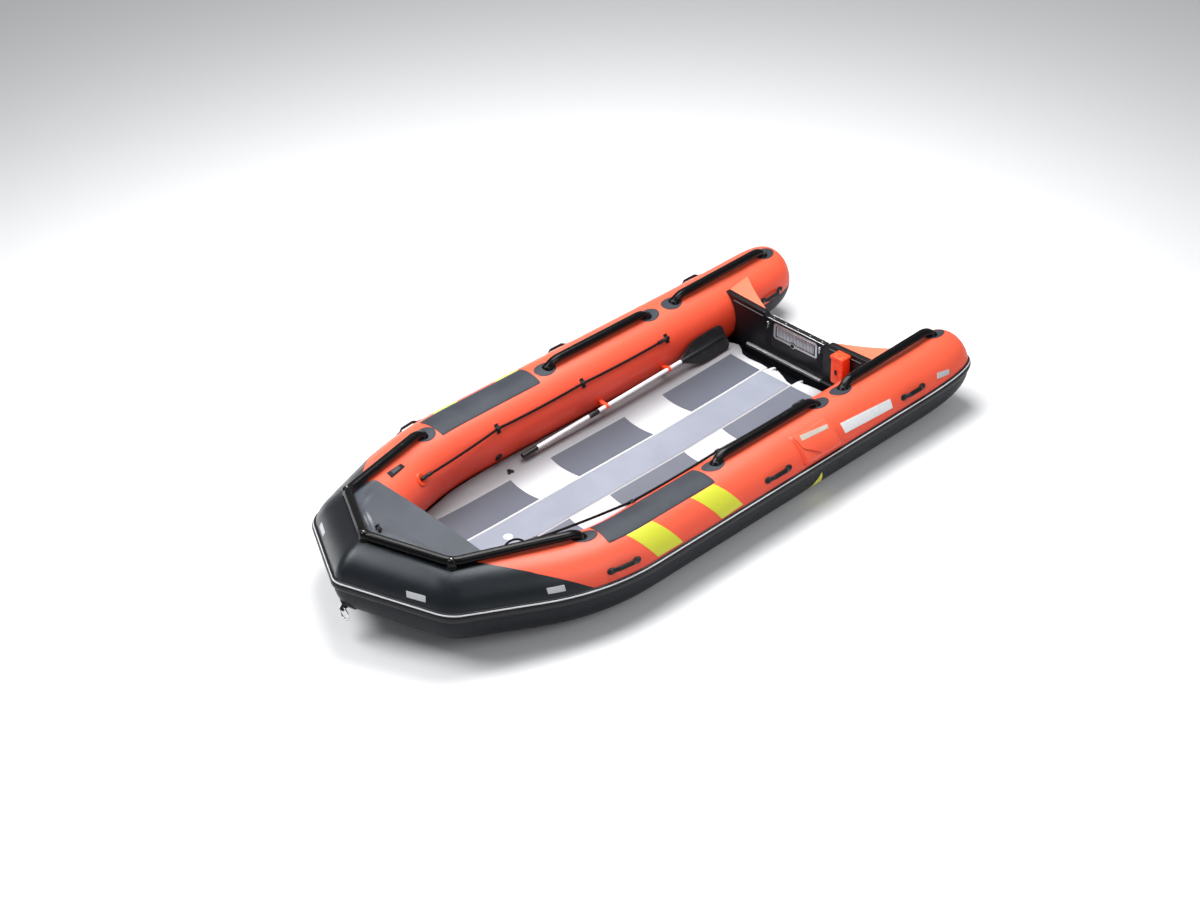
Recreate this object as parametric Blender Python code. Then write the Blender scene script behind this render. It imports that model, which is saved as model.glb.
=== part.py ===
"""Inflatable rescue boat, 4.7 m class, with an air deck and a wooden transom.

Frame: +X to the bow, +Y to port, +Z up, metres. The boat stands on its tubes,
with z = 0 on the floor and the origin under the middle of its length.
"""

import math

import bmesh
import bpy
from mathutils import Matrix, Vector

for old in list(bpy.data.objects):
    bpy.data.objects.remove(old)

# Gap between pieces that touch on the real boat
GAP = 0.0003

# Side tubes: radius, spread of their centre lines, and the path of the port one
TUBE_RADIUS = 0.248
TUBE_SPREAD = 0.830
TUBE_SIDES = 24
FACE_ANGLE = 360.0 / TUBE_SIDES
FIRST_ANGLE = 1.5
STERN_X = -2.340
TAIL_LENGTH = 0.674
TAIL_LIFT = 0.38
TAIL_FULLNESS = 5.07
TAIL_STEPS = (0.999, 0.985, 0.95, 0.88, 0.78, 0.6, 0.25)
TRANSOM_STATION_X = -1.72
BEND_X = 1.069
BEND_REACH = 0.36
BEND_STEPS = 4
KNUCKLE = Vector((1.813, 0.479, 0.329))
TIP = Vector((2.042, 0.0, 0.398))
NOSE_SHARE = 0.68

# Corners of the tube's section, counted from the outboard side over the top
STRAKE_CORNERS = (0, 1)
LOWER_PANEL_CORNER = 15
BOTTOM_CORNERS = (16, 17)

# Slanting seam between the orange side panel and the black bow panel
SEAM_POINTS = (
    Vector((1.102, 1.074, 0.288)),
    Vector((1.640, 0.600, 0.560)),
    Vector((1.455, 0.270, 0.290)),
)

# Rubbing strake
STRAKE_PROUD = 0.020
STRAKE_SHOULDER = 0.013
STRAKE_ANGLES = (3.5, 9.0, 14.5)

# Bottom fabric: height of its centre at the keel, and its thickness there
BOTTOM_AFT_X = -1.735
KEEL_Z = 0.0035
KEEL_THICK = 0.012
KEEL_RISE = 0.060
KEEL_TIP_RISE = 0.040

# Air deck: half width of the middle panel, groove, and heights along the boat
DECK_MIDDLE = 0.1325
DECK_GROOVE = 0.003
DECK_STATIONS = (
    # x, half width, height of the top, rise of the outer edge, bow lift of the underside
    (-1.575, 0.590, 0.119, 0.030, 0.0),
    (-1.10, 0.600, 0.098, 0.034, 0.0),
    (-0.45, 0.606, 0.080, 0.036, 0.0),
    (0.66, 0.606, 0.080, 0.036, 0.0),
    (0.98, 0.583, 0.079, 0.034, 0.018),
    (1.26, 0.514, 0.084, 0.028, 0.030),
    (1.42, 0.460, 0.092, 0.022, 0.040),
)
DECK_TURN_UP = ((0.72, 0.15), (0.90, 0.60))
DECK_RIM = (0.008, 0.016)
DECK_RIM_LIFT = 1.4

# Transom board, with its motor notch
TRANSOM_FRONT_X = -1.670
TRANSOM_THICK = 0.045
TRANSOM_FOOT_Z = 0.036
TRANSOM_KEEL_Z = 0.022
EAR_OUTER_Z = 0.446
EAR_INNER_Z = 0.432
NOTCH_Z = 0.404
NOTCH_HALF = 0.300
NOTCH_SLOPE = 0.022

# Plates, cap and bar on the transom
CAP_THICK = 0.010
CAP_LIP = 0.016
CAP_INSET = 0.012
PLATE_HALF = 0.205
PLATE_TOP_Z = 0.386
PLATE_INNER_HEIGHT = 0.118
PLATE_OUTER_HEIGHT = 0.198
PLATE_THICK = 0.008
PLATE_BEVEL = 0.020
BAR_HALF = 0.455
BAR_SIZE = 0.026
BAR_Z = 0.112

# Gussets between the transom's ears and the tubes
GUSSET_AFT_X = -1.913
GUSSET_THICK = 0.006
GUSSET_TAIL_RISE = 0.014
GUSSET_INNER_Y = 0.330

# Spray cover over the bow
COVER_AFT_X = 1.597
COVER_THICK = 0.006
COVER_AFT_HALF = 0.530
COVER_ARCH = 0.012
COVER_PEAK = 0.0216
COVER_SEAT = -0.0003
COVER_KNUCKLE_INSET = (0.030, 0.020)
COVER_MIDDLE = (1.920, 0.240)
COVER_TIP = 0.020

# Grab rails
RAIL_RADIUS = 0.023
RAIL_HEIGHT = 0.062
RAIL_ANGLE = 99.0
RAIL_SLANT = 0.075
RAIL_SINK = 0.004
RAIL_LEG_STEPS = 6
RAIL_CORNER = 0.055
RAIL_SIDES = 10
RAIL_BASE_RADIUS = 0.062
RAIL_BASE_THICK = 0.010
RAIL_SPANS = {"middle": (-1.012, -0.042), "aft": (-2.190, -1.235)}
BOW_RAIL_AFT_X = 1.029
BOW_RAIL_KNUCKLE = Vector((1.826, 0.500, 0.613))
BOW_RAIL_TIP = Vector((2.074, 0.0, 0.676))
BOW_FOOT_RADIUS = 0.027
BOW_BASE_LIFT = 0.0016

# Carrying handles: middle of each and its length
HANDLE_LENGTH = 0.215
HANDLE_RISE = 0.034
HANDLE_WIDTH = 0.030
HANDLE_THICK = 0.012
HANDLE_FOOT = 0.72
HANDLE_BEND = 0.50
OUTER_HANDLE_ANGLE = 31.5
TAIL_HANDLE_ANGLE = 172.0
OUTER_HANDLES = {"fore": 0.920, "middle": -0.375, "aft": -1.683}
TAIL_HANDLE_X = -2.052

# Step pads on top of the tubes
STEP_PAD_X = (0.070, 0.955)
STEP_PAD_CORNERS = (5, 8)
STEP_PAD_THICK = 0.004

# Lifelines along the inside of the tubes
LINE_RADIUS = 0.006
LINE_ANGLE = 151.5
LINE_STAND_OFF = 0.016
LINE_LUGS = (1.358, 0.539, -0.219, -1.010)
LINE_STEPS = 6
LINE_DROOP = 0.006
LUG_SIZE = (0.060, 0.036, 0.024)
LUG_TAPER = ((0.0, 1.0), (0.6, 0.9), (1.0, 0.5))

# Oars, laid along the deck beside the tubes
OAR_Y = 0.524
OAR_GRIP = (0.420, 0.137)
OAR_BLADE_START = (-1.060, 0.200)
OAR_SHAFT_RADIUS = 0.015
OAR_GRIP_RADIUS = 0.019
OAR_GRIP_LENGTH = 0.130
OAR_COLLAR = 0.006
BLADE_LENGTH = 0.450
BLADE_HEIGHT = 0.185
BLADE_TILT = 30.0
BLADE_THICK = 0.010
BLADE_OUTLINE = ((0.0, 0.16), (0.12, 0.55), (0.34, 0.96), (0.85, 1.0), (0.97, 0.86), (1.0, 0.60))
BLADE_SECTION = ((-1, -0.4), (-0.5, -1), (0.5, -1), (1, -0.4), (1, 0.4), (0.5, 1), (-0.5, 1), (-1, 0.4))
OAR_CLIPS = {"fore": -0.346, "aft": -0.940}
CLIP_WIDTH = 0.030
CLIP_WALL = 0.005
CLIP_FOOT_SPREAD = 3.5
CLIP_OPEN = (-95, 145)
CLIP_ROOT = 35
CLIP_STEP = 20

# Equipment box in the port corner of the transom and pouch on the port tube
BOX_SIZE = (0.110, 0.130, 0.225)
BOX_Y = 0.450
BOX_Z = 0.205
BOX_DRAFT = ((0.0, 0.0), (0.85, 0.0), (1.0, 0.015))
POUCH_X = (-0.950, -0.600)
POUCH_CORNERS = (2, 5)
POUCH_THICK = 0.020
POUCH_EDGE = 0.03

# Towing eye under the nose
TOW_CORNERS = (21, 22)
TOW_PLATE_HALF = 0.045
TOW_PLATE_THICK = 0.008
TOW_LUG = 0.034
TOW_LUG_THICK = 0.012
TOW_LUG_FOOT = (0.024, 0.004)
TOW_LUG_HEAD = 0.016
TOW_RING_RADIUS = 0.042
TOW_RING_WIRE = 0.0055
TOW_HOLE = 0.0066

# Inflation valve, on the starboard tube only
VALVE_X = 0.563
VALVE_ANGLE = 204.0
VALVE_RADIUS = 0.030
VALVE_PROUD = 0.012


def material(name, colour, roughness, metallic=0.0):
    """A plain surface of one colour."""
    made = bpy.data.materials.new(name)
    made.use_nodes = True
    shader = made.node_tree.nodes["Principled BSDF"]
    shader.inputs["Base Color"].default_value = (*colour, 1.0)
    shader.inputs["Roughness"].default_value = roughness
    shader.inputs["Metallic"].default_value = metallic
    made.diffuse_color = (*colour, 1.0)
    return made


ORANGE = material("orange_fabric", (0.80, 0.10, 0.03), 0.45)
BLACK = material("black_fabric", (0.018, 0.019, 0.023), 0.6)
RUBBER = material("black_rubber", (0.010, 0.010, 0.012), 0.5)
GLOSS = material("glossy_black", (0.006, 0.006, 0.007), 0.2)
DECK = material("deck_grey", (0.36, 0.40, 0.46), 0.6)
COVER = material("grey_cover", (0.14, 0.15, 0.18), 0.7)
PAD = material("pad_grey", (0.09, 0.10, 0.12), 0.8)
METAL = material("aluminium", (0.70, 0.70, 0.72), 0.3, 1.0)
PLATE = material("plate_grey", (0.30, 0.31, 0.33), 0.6)
ROPE = material("black_rope", (0.015, 0.015, 0.017), 0.8)
WHITE = material("white_shaft", (0.75, 0.76, 0.78), 0.35)


def keep(name, mesh_data, finish, smooth=35.0):
    """Put a finished bmesh into the scene under its own name."""
    bmesh.ops.recalc_face_normals(mesh_data, faces=mesh_data.faces)
    mesh = bpy.data.meshes.new(name)
    mesh_data.to_mesh(mesh)
    mesh_data.free()
    mesh.shade_smooth()
    mesh.set_sharp_from_angle(angle=math.radians(smooth))
    made = bpy.data.objects.new(name, mesh)
    made.data.materials.append(finish)
    bpy.context.scene.collection.objects.link(made)
    return made


def loft(rings, flip=()):
    """Skin rings of equal count and close both ends; flip lists the faces whose diagonal turns."""
    shape = bmesh.new()
    rows = [[shape.verts.new(point) for point in ring] for ring in rings]
    count = len(rows[0])
    for low, high in zip(rows[:-1], rows[1:]):
        for i in range(count):
            j = (i + 1) % count
            if i in flip:
                corners = ((low[i], low[j], high[i]), (low[j], high[j], high[i]))
            else:
                corners = ((low[i], low[j], high[j]), (low[i], high[j], high[i]))
            for corner in corners:
                shape.faces.new(corner)
    shape.faces.new(rows[0])
    shape.faces.new(rows[-1])
    return shape


def sweep(path, radii, sides, flat=None, up=Vector((0, 0, 1))):
    """Rings of a round or flat bar along a path of points; flat is its width across up."""
    rings = []
    for i, point in enumerate(path):
        ahead = path[min(i + 1, len(path) - 1)] - point
        behind = point - path[max(i - 1, 0)]
        along = (ahead.normalized() + behind.normalized()).normalized()
        across = along.cross(up).normalized()
        top = across.cross(along).normalized()
        half_turn = max(ahead.length and behind.length and ahead.angle(behind) / 2, 0.0)
        stretch = 1 / math.cos(half_turn)
        radius = radii[i] if isinstance(radii, (list, tuple)) else radii
        ring = []
        for k in range(sides):
            angle = 2 * math.pi * (k + 0.5) / sides
            wide = math.cos(angle) * (flat / 2 if flat else radius)
            high = math.sin(angle) * radius * stretch
            if flat:
                wide = math.copysign(flat / 2, math.cos(angle))
                high = math.copysign(radius, math.sin(angle)) * stretch
            ring.append(point + across * wide + top * high)
        rings.append(ring)
    return rings


def mirrored(rings, side):
    """The same rings on port (side 1) or starboard (side -1)."""
    return [[Vector((p.x, p.y * side, p.z)) for p in ring] for ring in rings]


def tube_stations():
    """Centre, level outward direction, stretch and radius of each ring of the port tube."""
    axis_z = TUBE_RADIUS
    outward = Vector((0, 1, 0))
    stations = []
    for step in TAIL_STEPS:
        shrink = (1 - step ** TAIL_FULLNESS) ** (1 / TAIL_FULLNESS)
        lift = TAIL_LIFT * TUBE_RADIUS * math.sqrt(1 - shrink)
        centre = Vector((STERN_X + TAIL_LENGTH * (1 - step), TUBE_SPREAD, axis_z + lift))
        stations.append((centre, outward, 1.0, TUBE_RADIUS * shrink))
    stations.append((Vector((TRANSOM_STATION_X, TUBE_SPREAD, axis_z)), outward, 1.0, TUBE_RADIUS))
    bend = Vector((BEND_X, TUBE_SPREAD, axis_z))
    start = bend - Vector((BEND_REACH, 0, 0))
    onward = (KNUCKLE - bend).normalized()
    end = bend + onward * BEND_REACH
    for i in range(BEND_STEPS + 1):
        t = i / BEND_STEPS
        point = start * (1 - t) ** 2 + bend * 2 * t * (1 - t) + end * t ** 2
        heading = (bend - start) * (1 - t) + (end - bend) * t
        level = Vector((-heading.y, heading.x, 0)).normalized()
        stations.append((point, level, 1.0, TUBE_RADIUS))
    inward = (TIP - KNUCKLE).normalized()
    for point, before, after in ((KNUCKLE, onward, inward), (TIP, inward, Vector((-inward.x, inward.y, 0)))):
        heading = before.normalized() + after.normalized()
        level = Vector((-heading.y, heading.x, 0)).normalized()
        turn = Vector(before.xy).angle(Vector(after.xy)) / 2
        stations.append((point, level, 1 / math.cos(turn), TUBE_RADIUS))
    nose = KNUCKLE.lerp(TIP, NOSE_SHARE)
    nose_out = Vector((-inward.y, inward.x, 0)).normalized()
    stations.insert(-1, (nose, nose_out, 1.0, TUBE_RADIUS))
    return stations


STATIONS = tube_stations()
TIP_STATION = len(STATIONS) - 1
NOSE_STATION = TIP_STATION - 1
KNUCKLE_STATION = TIP_STATION - 2


def on_ring(station, angle, lift=0.0):
    """A point at an angle on one ring, lifted off the tube."""
    centre, level, stretch, radius = station
    turn = math.radians(angle)
    reach = radius + lift
    return centre + level * (reach * stretch * math.cos(turn)) + Vector((0, 0, reach * math.sin(turn)))


def corner(station, index, lift=0.0):
    """A corner of the tube's section."""
    point = on_ring(station, FIRST_ANGLE + FACE_ANGLE * index, lift)
    if station is STATIONS[-1]:
        point.y = GAP / 2
    return point


def on_face(station, angle, lift=0.0):
    """A point at an angle on the flat faces between a ring's corners, lifted off the tube."""
    step = math.radians((angle - FIRST_ANGLE) % FACE_ANGLE - FACE_ANGLE / 2)
    centre, level, stretch, radius = station
    reach = radius * math.cos(math.radians(FACE_ANGLE / 2)) / math.cos(step) + lift
    turn = math.radians(angle)
    return centre + level * (reach * stretch * math.cos(turn)) + Vector((0, 0, reach * math.sin(turn)))


def on_tube(x, angle, lift=0.0):
    """A point on the port tube at a place along its centre line, up to the knuckle."""
    for low, high in zip(STATIONS[:-1], STATIONS[1:]):
        if low[0].x <= x <= high[0].x:
            share = (x - low[0].x) / (high[0].x - low[0].x)
            return on_face(low, angle, lift).lerp(on_face(high, angle, lift), share)
    raise ValueError("beyond the tube")


def tube_frame(x, angle, lift=0.0):
    """Point on the tube and the directions along it, round it and out of it."""
    origin = on_tube(x, angle, lift)
    along = (on_tube(x + 0.02, angle, lift) - on_tube(x - 0.02, angle, lift)).normalized()
    centre = (on_tube(x, angle) + on_tube(x, angle + 180)) / 2
    out = origin - centre
    out = (out - along * out.dot(along)).normalized()
    return origin, along, out.cross(along), out


def shift_along(ring, first, last, distance):
    """Move the two ends of an open section towards each other's far side, off the seam."""
    seam = (ring[last] - ring[first]).normalized()
    inward = sum(ring, Vector()) / len(ring) - (ring[first] + ring[last]) / 2
    off = (inward - seam * inward.dot(seam)).normalized()
    ring[first] = ring[first] + off * distance
    ring[last] = ring[last] + off * distance


def panel_rings(corners):
    """Rings of a part of the tube's section, closed by the flat seam between its ends."""
    rings = []
    for station in STATIONS:
        ring = [corner(station, k) for k in corners]
        shift_along(ring, 0, -1, GAP / 2)
        if station is STATIONS[-1]:
            for point in ring:
                point.y = GAP / 2
        rings.append(ring)
    return rings


def off_mitre(ring, distance):
    """One ring at the knuckle's mitre, moved off it along the tube."""
    level = STATIONS[KNUCKLE_STATION][1]
    ahead = Vector((level.y, -level.x, 0))
    return [point + ahead * distance for point in ring]


def seam_plane():
    a, b, c = SEAM_POINTS
    normal = (b - a).cross(c - a).normalized()
    return a, normal if normal.x > 0 else -normal


def cut_at_seam(shape, side, keep_bow):
    """Cut a panel at the slanting seam and close the cut."""
    point, normal = seam_plane()
    shift = GAP / 2 if keep_bow else -GAP / 2
    point = point + normal * shift
    place = Vector((point.x, point.y * side, point.z))
    facing = Vector((normal.x, normal.y * side, normal.z))
    parts = shape.verts[:] + shape.edges[:] + shape.faces[:]
    cut = bmesh.ops.bisect_plane(
        shape, geom=parts, dist=1e-7, plane_co=place, plane_no=facing,
        clear_outer=not keep_bow, clear_inner=keep_bow)
    edges = [e for e in cut["geom_cut"] if isinstance(e, bmesh.types.BMEdge)]
    bmesh.ops.holes_fill(shape, edges=edges, sides=0)
    return shape


def make_tubes(side, name):
    """Side tube in its fabric panels: orange side, black underside, and black bow and nose."""
    upper = range(0, LOWER_PANEL_CORNER + 1)
    lower = range(LOWER_PANEL_CORNER, TUBE_SIDES + 1)
    rings = panel_rings(upper)
    knuckle = rings[KNUCKLE_STATION]
    side_rings = mirrored(rings[:KNUCKLE_STATION] + [off_mitre(knuckle, -GAP / 2)], side)
    nose_rings = mirrored([off_mitre(knuckle, GAP / 2)] + rings[NOSE_STATION:], side)
    keep(f"tube_{name}", cut_at_seam(loft(side_rings, flip=upper), side, False), ORANGE)
    keep(f"bow_panel_{name}", cut_at_seam(loft(side_rings, flip=upper), side, True), BLACK)
    keep(f"nose_panel_{name}", loft(nose_rings, flip=upper), BLACK)
    keep(f"lower_panel_{name}", loft(mirrored(panel_rings(lower), side)), BLACK)


def make_strake(side, name):
    """Rubber strip glued on the outboard face of the tube, from the tail to the nose."""
    rings = []
    low, high = (FIRST_ANGLE + FACE_ANGLE * k for k in STRAKE_CORNERS)
    for station in STATIONS:
        ring = [on_ring(station, low, 2 * GAP), on_ring(station, high, 2 * GAP)]
        proud = (STRAKE_SHOULDER, STRAKE_PROUD, STRAKE_SHOULDER)
        for angle, lift in zip(reversed(STRAKE_ANGLES), proud):
            ring.append(on_ring(station, angle, lift))
        if station is STATIONS[-1]:
            for point in ring:
                point.y = GAP / 2
        rings.append(ring)
    keep(f"rubbing_strake_{name}", loft(mirrored(rings, side), flip=(0, 1, 2, 3, 4)), RUBBER)


def keel_lift(station):
    """Height of the keel line: flat under the cockpit, rising with the tubes at the bow."""
    rise = (station[0].z - TUBE_RADIUS) / (TIP.z - TUBE_RADIUS)
    return KEEL_Z + KEEL_RISE * rise + KEEL_TIP_RISE * rise ** 3


def make_bottom():
    """Bottom fabric between the tubes, glued along their lower inner faces."""
    aft = (Vector((BOTTOM_AFT_X, TUBE_SPREAD, TUBE_RADIUS)), Vector((0, 1, 0)), 1.0, TUBE_RADIUS)
    first = next(i for i, s in enumerate(STATIONS) if s[0].x > TRANSOM_STATION_X + GAP)
    rings = []
    for station in [aft] + STATIONS[first:NOSE_STATION + 1]:
        outer = [corner(station, k, 2 * GAP) for k in BOTTOM_CORNERS]
        x = (outer[0].x + outer[1].x) / 2
        keel = Vector((x, 0, keel_lift(station)))
        top = keel + Vector((0, 0, KEEL_THICK))
        other = [Vector((p.x, -p.y, p.z)) for p in outer]
        rings.append([outer[0], outer[1], keel, other[1], other[0], top])
    keep("bottom_fabric", loft(rings, flip=(3,)), BLACK)


def bottom_top(y):
    """Height of the bottom fabric's upper side under the cockpit."""
    edge = on_ring((Vector((0, TUBE_SPREAD, TUBE_RADIUS)), Vector((0, 1, 0)), 1.0, TUBE_RADIUS),
                   FIRST_ANGLE + FACE_ANGLE * BOTTOM_CORNERS[0], 2 * GAP)
    middle = KEEL_Z + KEEL_THICK
    return middle + (edge.z - middle) * abs(y) / edge.y + 2 * GAP


def make_deck():
    """Three panels of the air deck, side by side over the bottom fabric."""
    middle = []
    outer = []
    for x, half, top, rise, lift in DECK_STATIONS:
        inner = DECK_MIDDLE
        middle.append([Vector((x, y, z)) for y, z in (
            (inner, bottom_top(inner) + lift), (inner, top),
            (-inner, top), (-inner, bottom_top(inner) + lift), (0, bottom_top(0) + lift))])
        inner = DECK_MIDDLE + DECK_GROOVE
        turn_up = [(half * share, top + rise * part) for share, part in DECK_TURN_UP]
        rim_out, rim_down = DECK_RIM
        outer.append([Vector((x, y, z)) for y, z in (
            (inner, bottom_top(inner) + lift), (inner, top), *turn_up, (half, top + rise),
            (half + rim_out, top + rise - rim_down), (half, bottom_top(half) + lift * DECK_RIM_LIFT))])
    keep("deck_panel_middle", loft(middle), DECK)
    keep("deck_panel_port", loft(outer), DECK)
    keep("deck_panel_starboard", loft(mirrored(outer, -1)), DECK)


def side_at(z, angle_from, angle_to, x):
    """Point on the inboard side of the port tube at a height, just off its faces."""
    for i in range(int((angle_to - angle_from) * 4) + 1):
        point = on_tube(x, angle_from + i / 4, 2 * GAP)
        if point.z <= z:
            return Vector((x, point.y, z))
    raise ValueError("no such height on the tube")


def make_transom():
    """Board glued between the tubes, lower between its ears for the outboard motor."""
    half = [
        Vector((0, NOTCH_HALF - NOTCH_SLOPE, NOTCH_Z)),
        Vector((0, NOTCH_HALF, EAR_INNER_Z)),
        side_at(EAR_OUTER_Z, 100, 150, TRANSOM_FRONT_X),
    ]
    for k in range(9, LOWER_PANEL_CORNER + 1):
        half.append(on_tube(TRANSOM_FRONT_X, FIRST_ANGLE + FACE_ANGLE * k, 2 * GAP))
    half.append(side_at(TRANSOM_FOOT_Z, 200, 260, TRANSOM_FRONT_X))
    for point in half:
        point.x = 0.0
    outline = half + [Vector((0, 0, TRANSOM_KEEL_Z))]
    outline += [Vector((0, -p.y, p.z)) for p in reversed(half)]
    faces = [[p + Vector((x, 0, 0)) for p in outline]
             for x in (TRANSOM_FRONT_X - TRANSOM_THICK, TRANSOM_FRONT_X)]
    keep("transom_board", loft(faces), BLACK)


def prism(outline, x_from, x_to):
    """A plate of a (y, z) outline between two x values."""
    return loft([[Vector((x, y, z)) for y, z in outline] for x in (x_from, x_to)])


def make_transom_fittings():
    aft = TRANSOM_FRONT_X - TRANSOM_THICK
    half = NOTCH_HALF - NOTCH_SLOPE - CAP_INSET
    low = NOTCH_Z + GAP
    cap = [(aft - CAP_LIP / 2, low - CAP_LIP), (aft - CAP_LIP / 2, low + CAP_THICK),
           (TRANSOM_FRONT_X + CAP_LIP / 2, low + CAP_THICK), (TRANSOM_FRONT_X + CAP_LIP / 2, low - CAP_LIP),
           (TRANSOM_FRONT_X + GAP, low - CAP_LIP), (TRANSOM_FRONT_X + GAP, low),
           (aft - GAP, low), (aft - GAP, low - CAP_LIP)]
    ends = [[Vector((x, y, z)) for x, z in cap] for y in (-half, half)]
    keep("notch_cap", loft(ends), METAL)
    for name, height, x in (("motor_plate_inner", PLATE_INNER_HEIGHT, TRANSOM_FRONT_X + GAP),
                            ("motor_plate_outer", PLATE_OUTER_HEIGHT, aft - GAP - PLATE_THICK)):
        low = PLATE_TOP_Z - height
        outline = [(-PLATE_HALF + PLATE_BEVEL, low), (PLATE_HALF - PLATE_BEVEL, low),
                   (PLATE_HALF, low + PLATE_BEVEL), (PLATE_HALF, PLATE_TOP_Z),
                   (-PLATE_HALF, PLATE_TOP_Z), (-PLATE_HALF, low + PLATE_BEVEL)]
        keep(name, prism(outline, x, x + PLATE_THICK), PLATE)
    x = TRANSOM_FRONT_X + GAP
    bar = [(x, BAR_Z - BAR_SIZE / 2), (x + BAR_SIZE, BAR_Z - BAR_SIZE / 2),
           (x + BAR_SIZE, BAR_Z + BAR_SIZE / 3), (x + BAR_SIZE / 2, BAR_Z + BAR_SIZE / 2),
           (x, BAR_Z + BAR_SIZE / 2)]
    ends = [[Vector((px, y, pz)) for px, pz in bar] for y in (-BAR_HALF, BAR_HALF)]
    keep("deck_bar", loft(ends), METAL)


def make_gusset(side, name):
    """Fabric triangle from the ear of the transom to the tube, behind the board."""
    x = TRANSOM_FRONT_X - TRANSOM_THICK - GAP
    low_z = EAR_INNER_Z - GUSSET_THICK
    inner = Vector((x, GUSSET_INNER_Y, low_z))
    root = side_at(EAR_OUTER_Z - GUSSET_THICK, 100, 150, x)
    tail_z = EAR_OUTER_Z + GUSSET_TAIL_RISE
    tail = side_at(tail_z, 100, 150, GUSSET_AFT_X)
    under = side_at(tail_z - GUSSET_THICK, 100, 150, GUSSET_AFT_X)
    top_root = side_at(EAR_OUTER_Z, 100, 150, x)
    lower = [inner, root, under]
    upper = [inner + Vector((0, 0, GUSSET_THICK)), top_root, tail]
    keep(f"gusset_{name}", loft(mirrored([lower, upper], side)), ORANGE)


def crest(point):
    """Height of the top of the bow tube above a point of its centre line."""
    return point.z + TUBE_RADIUS


def make_cover():
    """Spray cover stretched over the bow tubes, with a straight rear edge."""
    bend = Vector((BEND_X, TUBE_SPREAD, TUBE_RADIUS))
    share = (COVER_AFT_X - BEND_X) / (KNUCKLE.x - BEND_X)
    aft_axis = bend.lerp(KNUCKLE, share)
    inset_x, inset_y = COVER_KNUCKLE_INSET
    rows = (
        (COVER_AFT_X, COVER_AFT_HALF, crest(aft_axis) + COVER_SEAT, COVER_ARCH),
        (KNUCKLE.x - inset_x, KNUCKLE.y - inset_y, crest(KNUCKLE) + COVER_SEAT, COVER_ARCH),
        (*COVER_MIDDLE, crest(KNUCKLE.lerp(TIP, 0.5)) + COVER_SEAT, COVER_PEAK),
        (TIP.x - COVER_TIP, COVER_TIP, crest(TIP) + COVER_SEAT, 0.0),
    )
    rings = []
    for x, half, z, arch in rows:
        under = [Vector((x, half * k / 2, z + arch * (1 - (k / 2) ** 2))) for k in (-2, -1, 0, 1, 2)]
        rings.append(under + [p + Vector((0, 0, COVER_THICK)) for p in reversed(under)])
    keep("spray_cover", loft(rings), COVER)


def union(name, pieces, finish):
    """Weld overlapping shapes into one closed piece."""
    first = keep(name, pieces[0], finish)
    for i, piece in enumerate(pieces[1:]):
        other = keep(f"{name}_joined_{i}", piece, finish)
        weld = first.modifiers.new("weld", "BOOLEAN")
        weld.operation = "UNION"
        weld.object = other
        other.hide_render = True
        other.display_type = "WIRE"
    return first


def disc(centre, normal, radius, thick, sides=16):
    """A flat round base standing on a face."""
    across = normal.cross(Vector((1, 0, 0)) if abs(normal.x) < 0.9 else Vector((0, 1, 0))).normalized()
    along = normal.cross(across)
    rings = []
    for height, size in ((0.0, 1.0), (thick * 0.5, 1.0), (thick, 0.75)):
        rings.append([centre + normal * height + (across * math.cos(a) + along * math.sin(a)) * radius * size
                      for a in (2 * math.pi * k / sides for k in range(sides))])
    return loft(rings)


def rounded(points, radius, steps=4):
    """A path through points with its corners rounded."""
    path = [points[0]]
    for a, b, c in zip(points[:-2], points[1:-1], points[2:]):
        reach = min(radius, (b - a).length / 2.2, (c - b).length / 2.2)
        start = b + (a - b).normalized() * reach
        end = b + (c - b).normalized() * reach
        for i in range(steps + 1):
            t = i / steps
            path.append(start * (1 - t) ** 2 + b * 2 * t * (1 - t) + end * t ** 2)
    return path + [points[-1]]


def rail_leg(foot, inward, out):
    """Path of a rail's leg, rising off its base and leaning over into the rail's run."""
    low, high, end = (foot + out * RAIL_SINK, foot + out * RAIL_HEIGHT,
                      foot + out * RAIL_HEIGHT + inward * RAIL_SLANT)
    shares = [k / RAIL_LEG_STEPS for k in range(RAIL_LEG_STEPS + 1)]
    return [low * (1 - t) ** 2 + high * 2 * t * (1 - t) + end * t ** 2 for t in shares]


def make_side_rail(side, name, span):
    """Grab rail along the top of the tube, its feet on round base patches."""
    frames = [tube_frame(x, RAIL_ANGLE, 2 * GAP) for x in span]
    run = []
    for lean, (origin, along, round_way, out) in zip((1, -1), frames):
        leg = rail_leg(origin, along * lean, out)
        run += leg if lean > 0 else reversed(leg)
    pieces = [loft(mirrored(sweep(run, RAIL_RADIUS, RAIL_SIDES, up=Vector((0, 1, 0.1))), side))]
    for origin, along, round_way, out in frames:
        place = Vector((origin.x, origin.y * side, origin.z))
        pieces.append(disc(place, Vector((out.x, out.y * side, out.z)), RAIL_BASE_RADIUS, RAIL_BASE_THICK))
    union(f"side_rail_{name}", pieces, GLOSS)


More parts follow.
